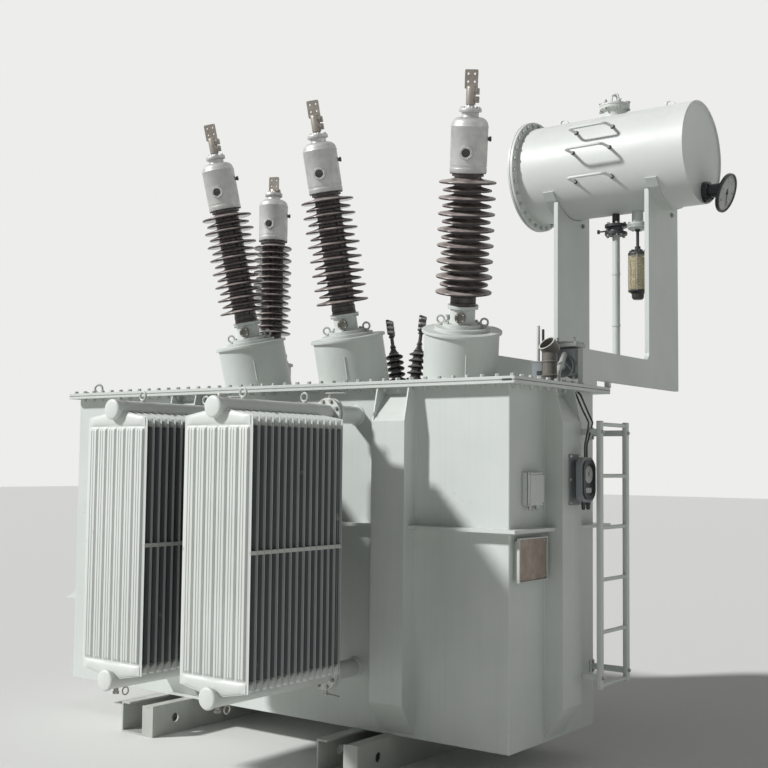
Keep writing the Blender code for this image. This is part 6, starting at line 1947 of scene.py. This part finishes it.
        bolts = Shape()
        for x in (-0.050, 0.050):
            for z in (-0.135, 0.0, 0.135):
                if abs(z) > 0.01 or x < 0:
                    bolts.lathe([(0.0095, 0), (0.0085, 0.005), (0.004, 0.008), (0, 0.0085)], 14,
                                base @ at(x, z, 0.008))
        bolts.finish("thermometer_bolts", ZINC)
        lines = Shape()
        top = middle + 0.13
        for shift, reach in ((-0.012, 0.20), (0.014, 0.235)):
            x0, y0 = RIGHT_WALL + 0.186, self.dial_at[0] + shift
            path = [(x0, y0, top), (x0, y0, top + 0.075), (x0 - 0.015, y0 + 0.35 * reach, top + 0.165),
                    (x0 - 0.055, y0 + 0.8 * reach, top + 0.215), (x0 - 0.115, y0 + reach, top + 0.290),
                    (RIGHT_WALL + 0.020, y0 + reach, top + 0.400),
                    (RIGHT_WALL + 0.008, y0 + reach, RIM_BOTTOM - 0.002)]
            lines.tube(curved_path(path, 0.060, 6), 0.0055, 8, spot(0, 0, 0))
        lines.finish("thermometer_capillaries", RUBBER)

    def bracket_fixings(self) -> None:
        """Bolts of the drum's brackets, at the feet and below the saddles."""
        bolts = Shape()
        for face in ARM_FACES:
            out = face - RIGHT_WALL - GAP
            bolts.bolt(end_wall(out, 1.580, 3.578), 0.030)
        bolts.finish("bracket_bolts", ZINC)
        beads = Shape()
        for face in ARM_FACES:
            for y in (0.2105, 0.572):
                ends = [ORIGIN + Vector((face + 0.002, y + step, COVER_TOP + 0.003)) for step in (0, 0.02)]
                beads.bead(ends, 0.004)
        beads.finish("bracket_welds", ENAMEL)

    def build(self) -> None:
        """Build every fitting of the end wall."""
        self.ladder()
        self.rating_plate()
        self.small_box()
        self.thermometer()
        self.bracket_fixings()


class Light(Enum):
    """The studio's lamps: direction towards the lamp, strength and softness in degrees."""

    KEY = ((-0.57, -0.71, 0.60), 3.5, 5.0)
    RIM = ((0.85, 0.25, 0.55), 0.10, 25.0)


@dataclass
class Studio:
    """A pale floor, soft light and the camera at the photograph's angle."""

    camera: Triple = (5.1945, -6.221, 1.805)
    yaw: float = 36.62
    pitch: float = 3.85
    roll: float = 0.60
    lens: float = 54.9
    fill: float = 0.18
    floor_reach: float = 60.0
    sensor: float = 36.0
    far_clip: float = 200.0

    def floor(self) -> None:
        """A wide pale floor that keeps the shadow and looks white to the camera."""
        mesh = bpy.data.meshes.new("studio_floor")
        reach = self.floor_reach
        mesh.from_pydata([(-reach, -reach, 0), (reach, -reach, 0), (reach, reach, 0), (-reach, reach, 0)], [],
                         [(0, 1, 2, 3)])
        made = bpy.data.objects.new("studio_floor", mesh)
        bpy.context.scene.collection.objects.link(made)
        material = bpy.data.materials.new("pale_studio_floor")
        material.use_nodes = True
        shader = material.node_tree.nodes["Principled BSDF"]
        shader.inputs["Base Color"].default_value = linear("#E2E2DF")
        shader.inputs["Roughness"].default_value = 0.9
        mesh.materials.append(material)

    def light(self) -> None:
        """A plain backdrop of one tone and two soft lamps."""
        world = bpy.data.worlds.new("studio")
        world.use_nodes = True
        tree = world.node_tree
        tree.nodes.clear()
        path = add_node(tree, "ShaderNodeLightPath")
        seen = path.outputs["Is Camera Ray"]
        for kind in ("Is Glossy Ray", "Is Transmission Ray"):
            seen = add_node(tree, "ShaderNodeMath", {"operation": "MAXIMUM"},
                            {0: seen, 1: path.outputs[kind]}).outputs[0]
        fill = add_node(tree, "ShaderNodeBackground", {"Color": linear("#F4F5F7"), "Strength": self.fill})
        backdrop = add_node(tree, "ShaderNodeBackground", {"Color": linear("#EDEDEB"), "Strength": 1.0})
        mixed = add_node(tree, "ShaderNodeMixShader", {},
                         {0: seen, 1: fill.outputs[0], 2: backdrop.outputs[0]})
        add_node(tree, "ShaderNodeOutputWorld", {}, {0: mixed.outputs[0]})
        bpy.context.scene.world = world
        for lamp in Light:
            towards, strength, softness = lamp.value
            data = bpy.data.lights.new(lamp.name.lower(), "SUN")
            data.energy = strength
            data.angle = math.radians(softness)
            made = bpy.data.objects.new(lamp.name.lower(), data)
            made.rotation_euler = Vector(towards).to_track_quat("Z", "Y").to_euler()
            bpy.context.scene.collection.objects.link(made)

    def place_camera(self) -> None:
        """Set the camera where the photograph was taken from."""
        yaw, pitch, roll = (math.radians(v) for v in (self.yaw, self.pitch, self.roll))
        forward = Vector((-math.sin(yaw) * math.cos(pitch), math.cos(yaw) * math.cos(pitch), math.sin(pitch)))
        level_right = Vector((math.cos(yaw), math.sin(yaw), 0))
        level_up = level_right.cross(forward)
        right = math.cos(roll) * level_right + math.sin(roll) * level_up
        up = -math.sin(roll) * level_right + math.cos(roll) * level_up
        data = bpy.data.cameras.new("camera")
        data.lens = self.lens
        data.sensor_width = self.sensor
        data.clip_end = self.far_clip
        made = bpy.data.objects.new("camera", data)
        turned = Matrix((right, up, -forward)).transposed().to_4x4()
        made.matrix_world = Matrix.Translation(ORIGIN + Vector(self.camera)) @ turned
        bpy.context.scene.collection.objects.link(made)
        bpy.context.scene.camera = made

    def build(self) -> None:
        """Set up floor, light, camera and the view transform."""
        self.floor()
        self.light()
        self.place_camera()
        bpy.context.scene.view_settings.view_transform = "Standard"


def leaning(x: float, y: float, lean: float, spread: float) -> Matrix:
    """A place on the cover whose Z axis leans to -Y and spreads along X."""
    return Matrix.Translation(ORIGIN + Vector((x, y, COVER_TOP))) @ turn(spread, "Y") @ turn(lean, "X")


def wall_place(along: float, side: int) -> Matrix:
    """A place on the front (-1) or rear (1) wall whose X axis points out of it."""
    return spot(along, side * (SIDE_WALL + GAP), 0) @ turn(90 * side, "Z")


def main() -> None:
    """Build and dress every sub-assembly in order."""
    logging.basicConfig(level=logging.INFO, format="%(name)s %(message)s")
    Studio().build()
    Tank().build()
    coat(SKID_ENAMEL, "skid_beam_left", "skid_beam_right")
    for side, sign in (("front", -1), ("rear", 1)):
        for end, along in (("left", RADIATOR_MIDDLE - RADIATOR_HALF_PITCH),
                           ("right", RADIATOR_MIDDLE + RADIATOR_HALF_PITCH)):
            Radiator(f"radiator_{side}_{end}", wall_place(along, sign)).build()
    for label, step, spread in (("a", -0.845, -4.0), ("b", -0.010, -1.6), ("c", 0.795, 10.8)):
        TallBushing(label, leaning(BUSHING_MIDDLE + step, BUSHING_Y, BUSHING_LEAN, spread)).build()
    TallBushing("n", leaning(-0.7035, 0.293, 0, 0), 0.15, 0.24, 0.13, (0.285, 0.250), 0.020, 0.030).build()
    Conservator(spot(1.5525, DRUM_Y, DRUM_LEVEL)).build()
    Filler(spot(1.5540, DRUM_Y, DRUM_LEVEL + DRUM_RADIUS)).build()
    Breather(spot(1.7285, DRUM_Y, DRUM_LEVEL - DRUM_RADIUS)).build()
    Pipework().build()
    OilGauge(spot(2.1978, 1.50, DRUM_LEVEL - 0.265)).build()
    for index, (label, spread) in enumerate((("a", -14.0), ("b", 4.0), ("c", 16.0))):
        x = LOW_VOLTAGE_MIDDLE + (index - 1) * LOW_VOLTAGE_PITCH
        LowVoltageBushing(label, leaning(x, LOW_VOLTAGE_Y, LOW_VOLTAGE_LEAN, spread)).build()
    coat(ENAMEL, "bracket_left", "bracket_right")
    EndWallFittings().build()


if __name__ == "__main__":
    main()
    bpy.context.view_layer.update()
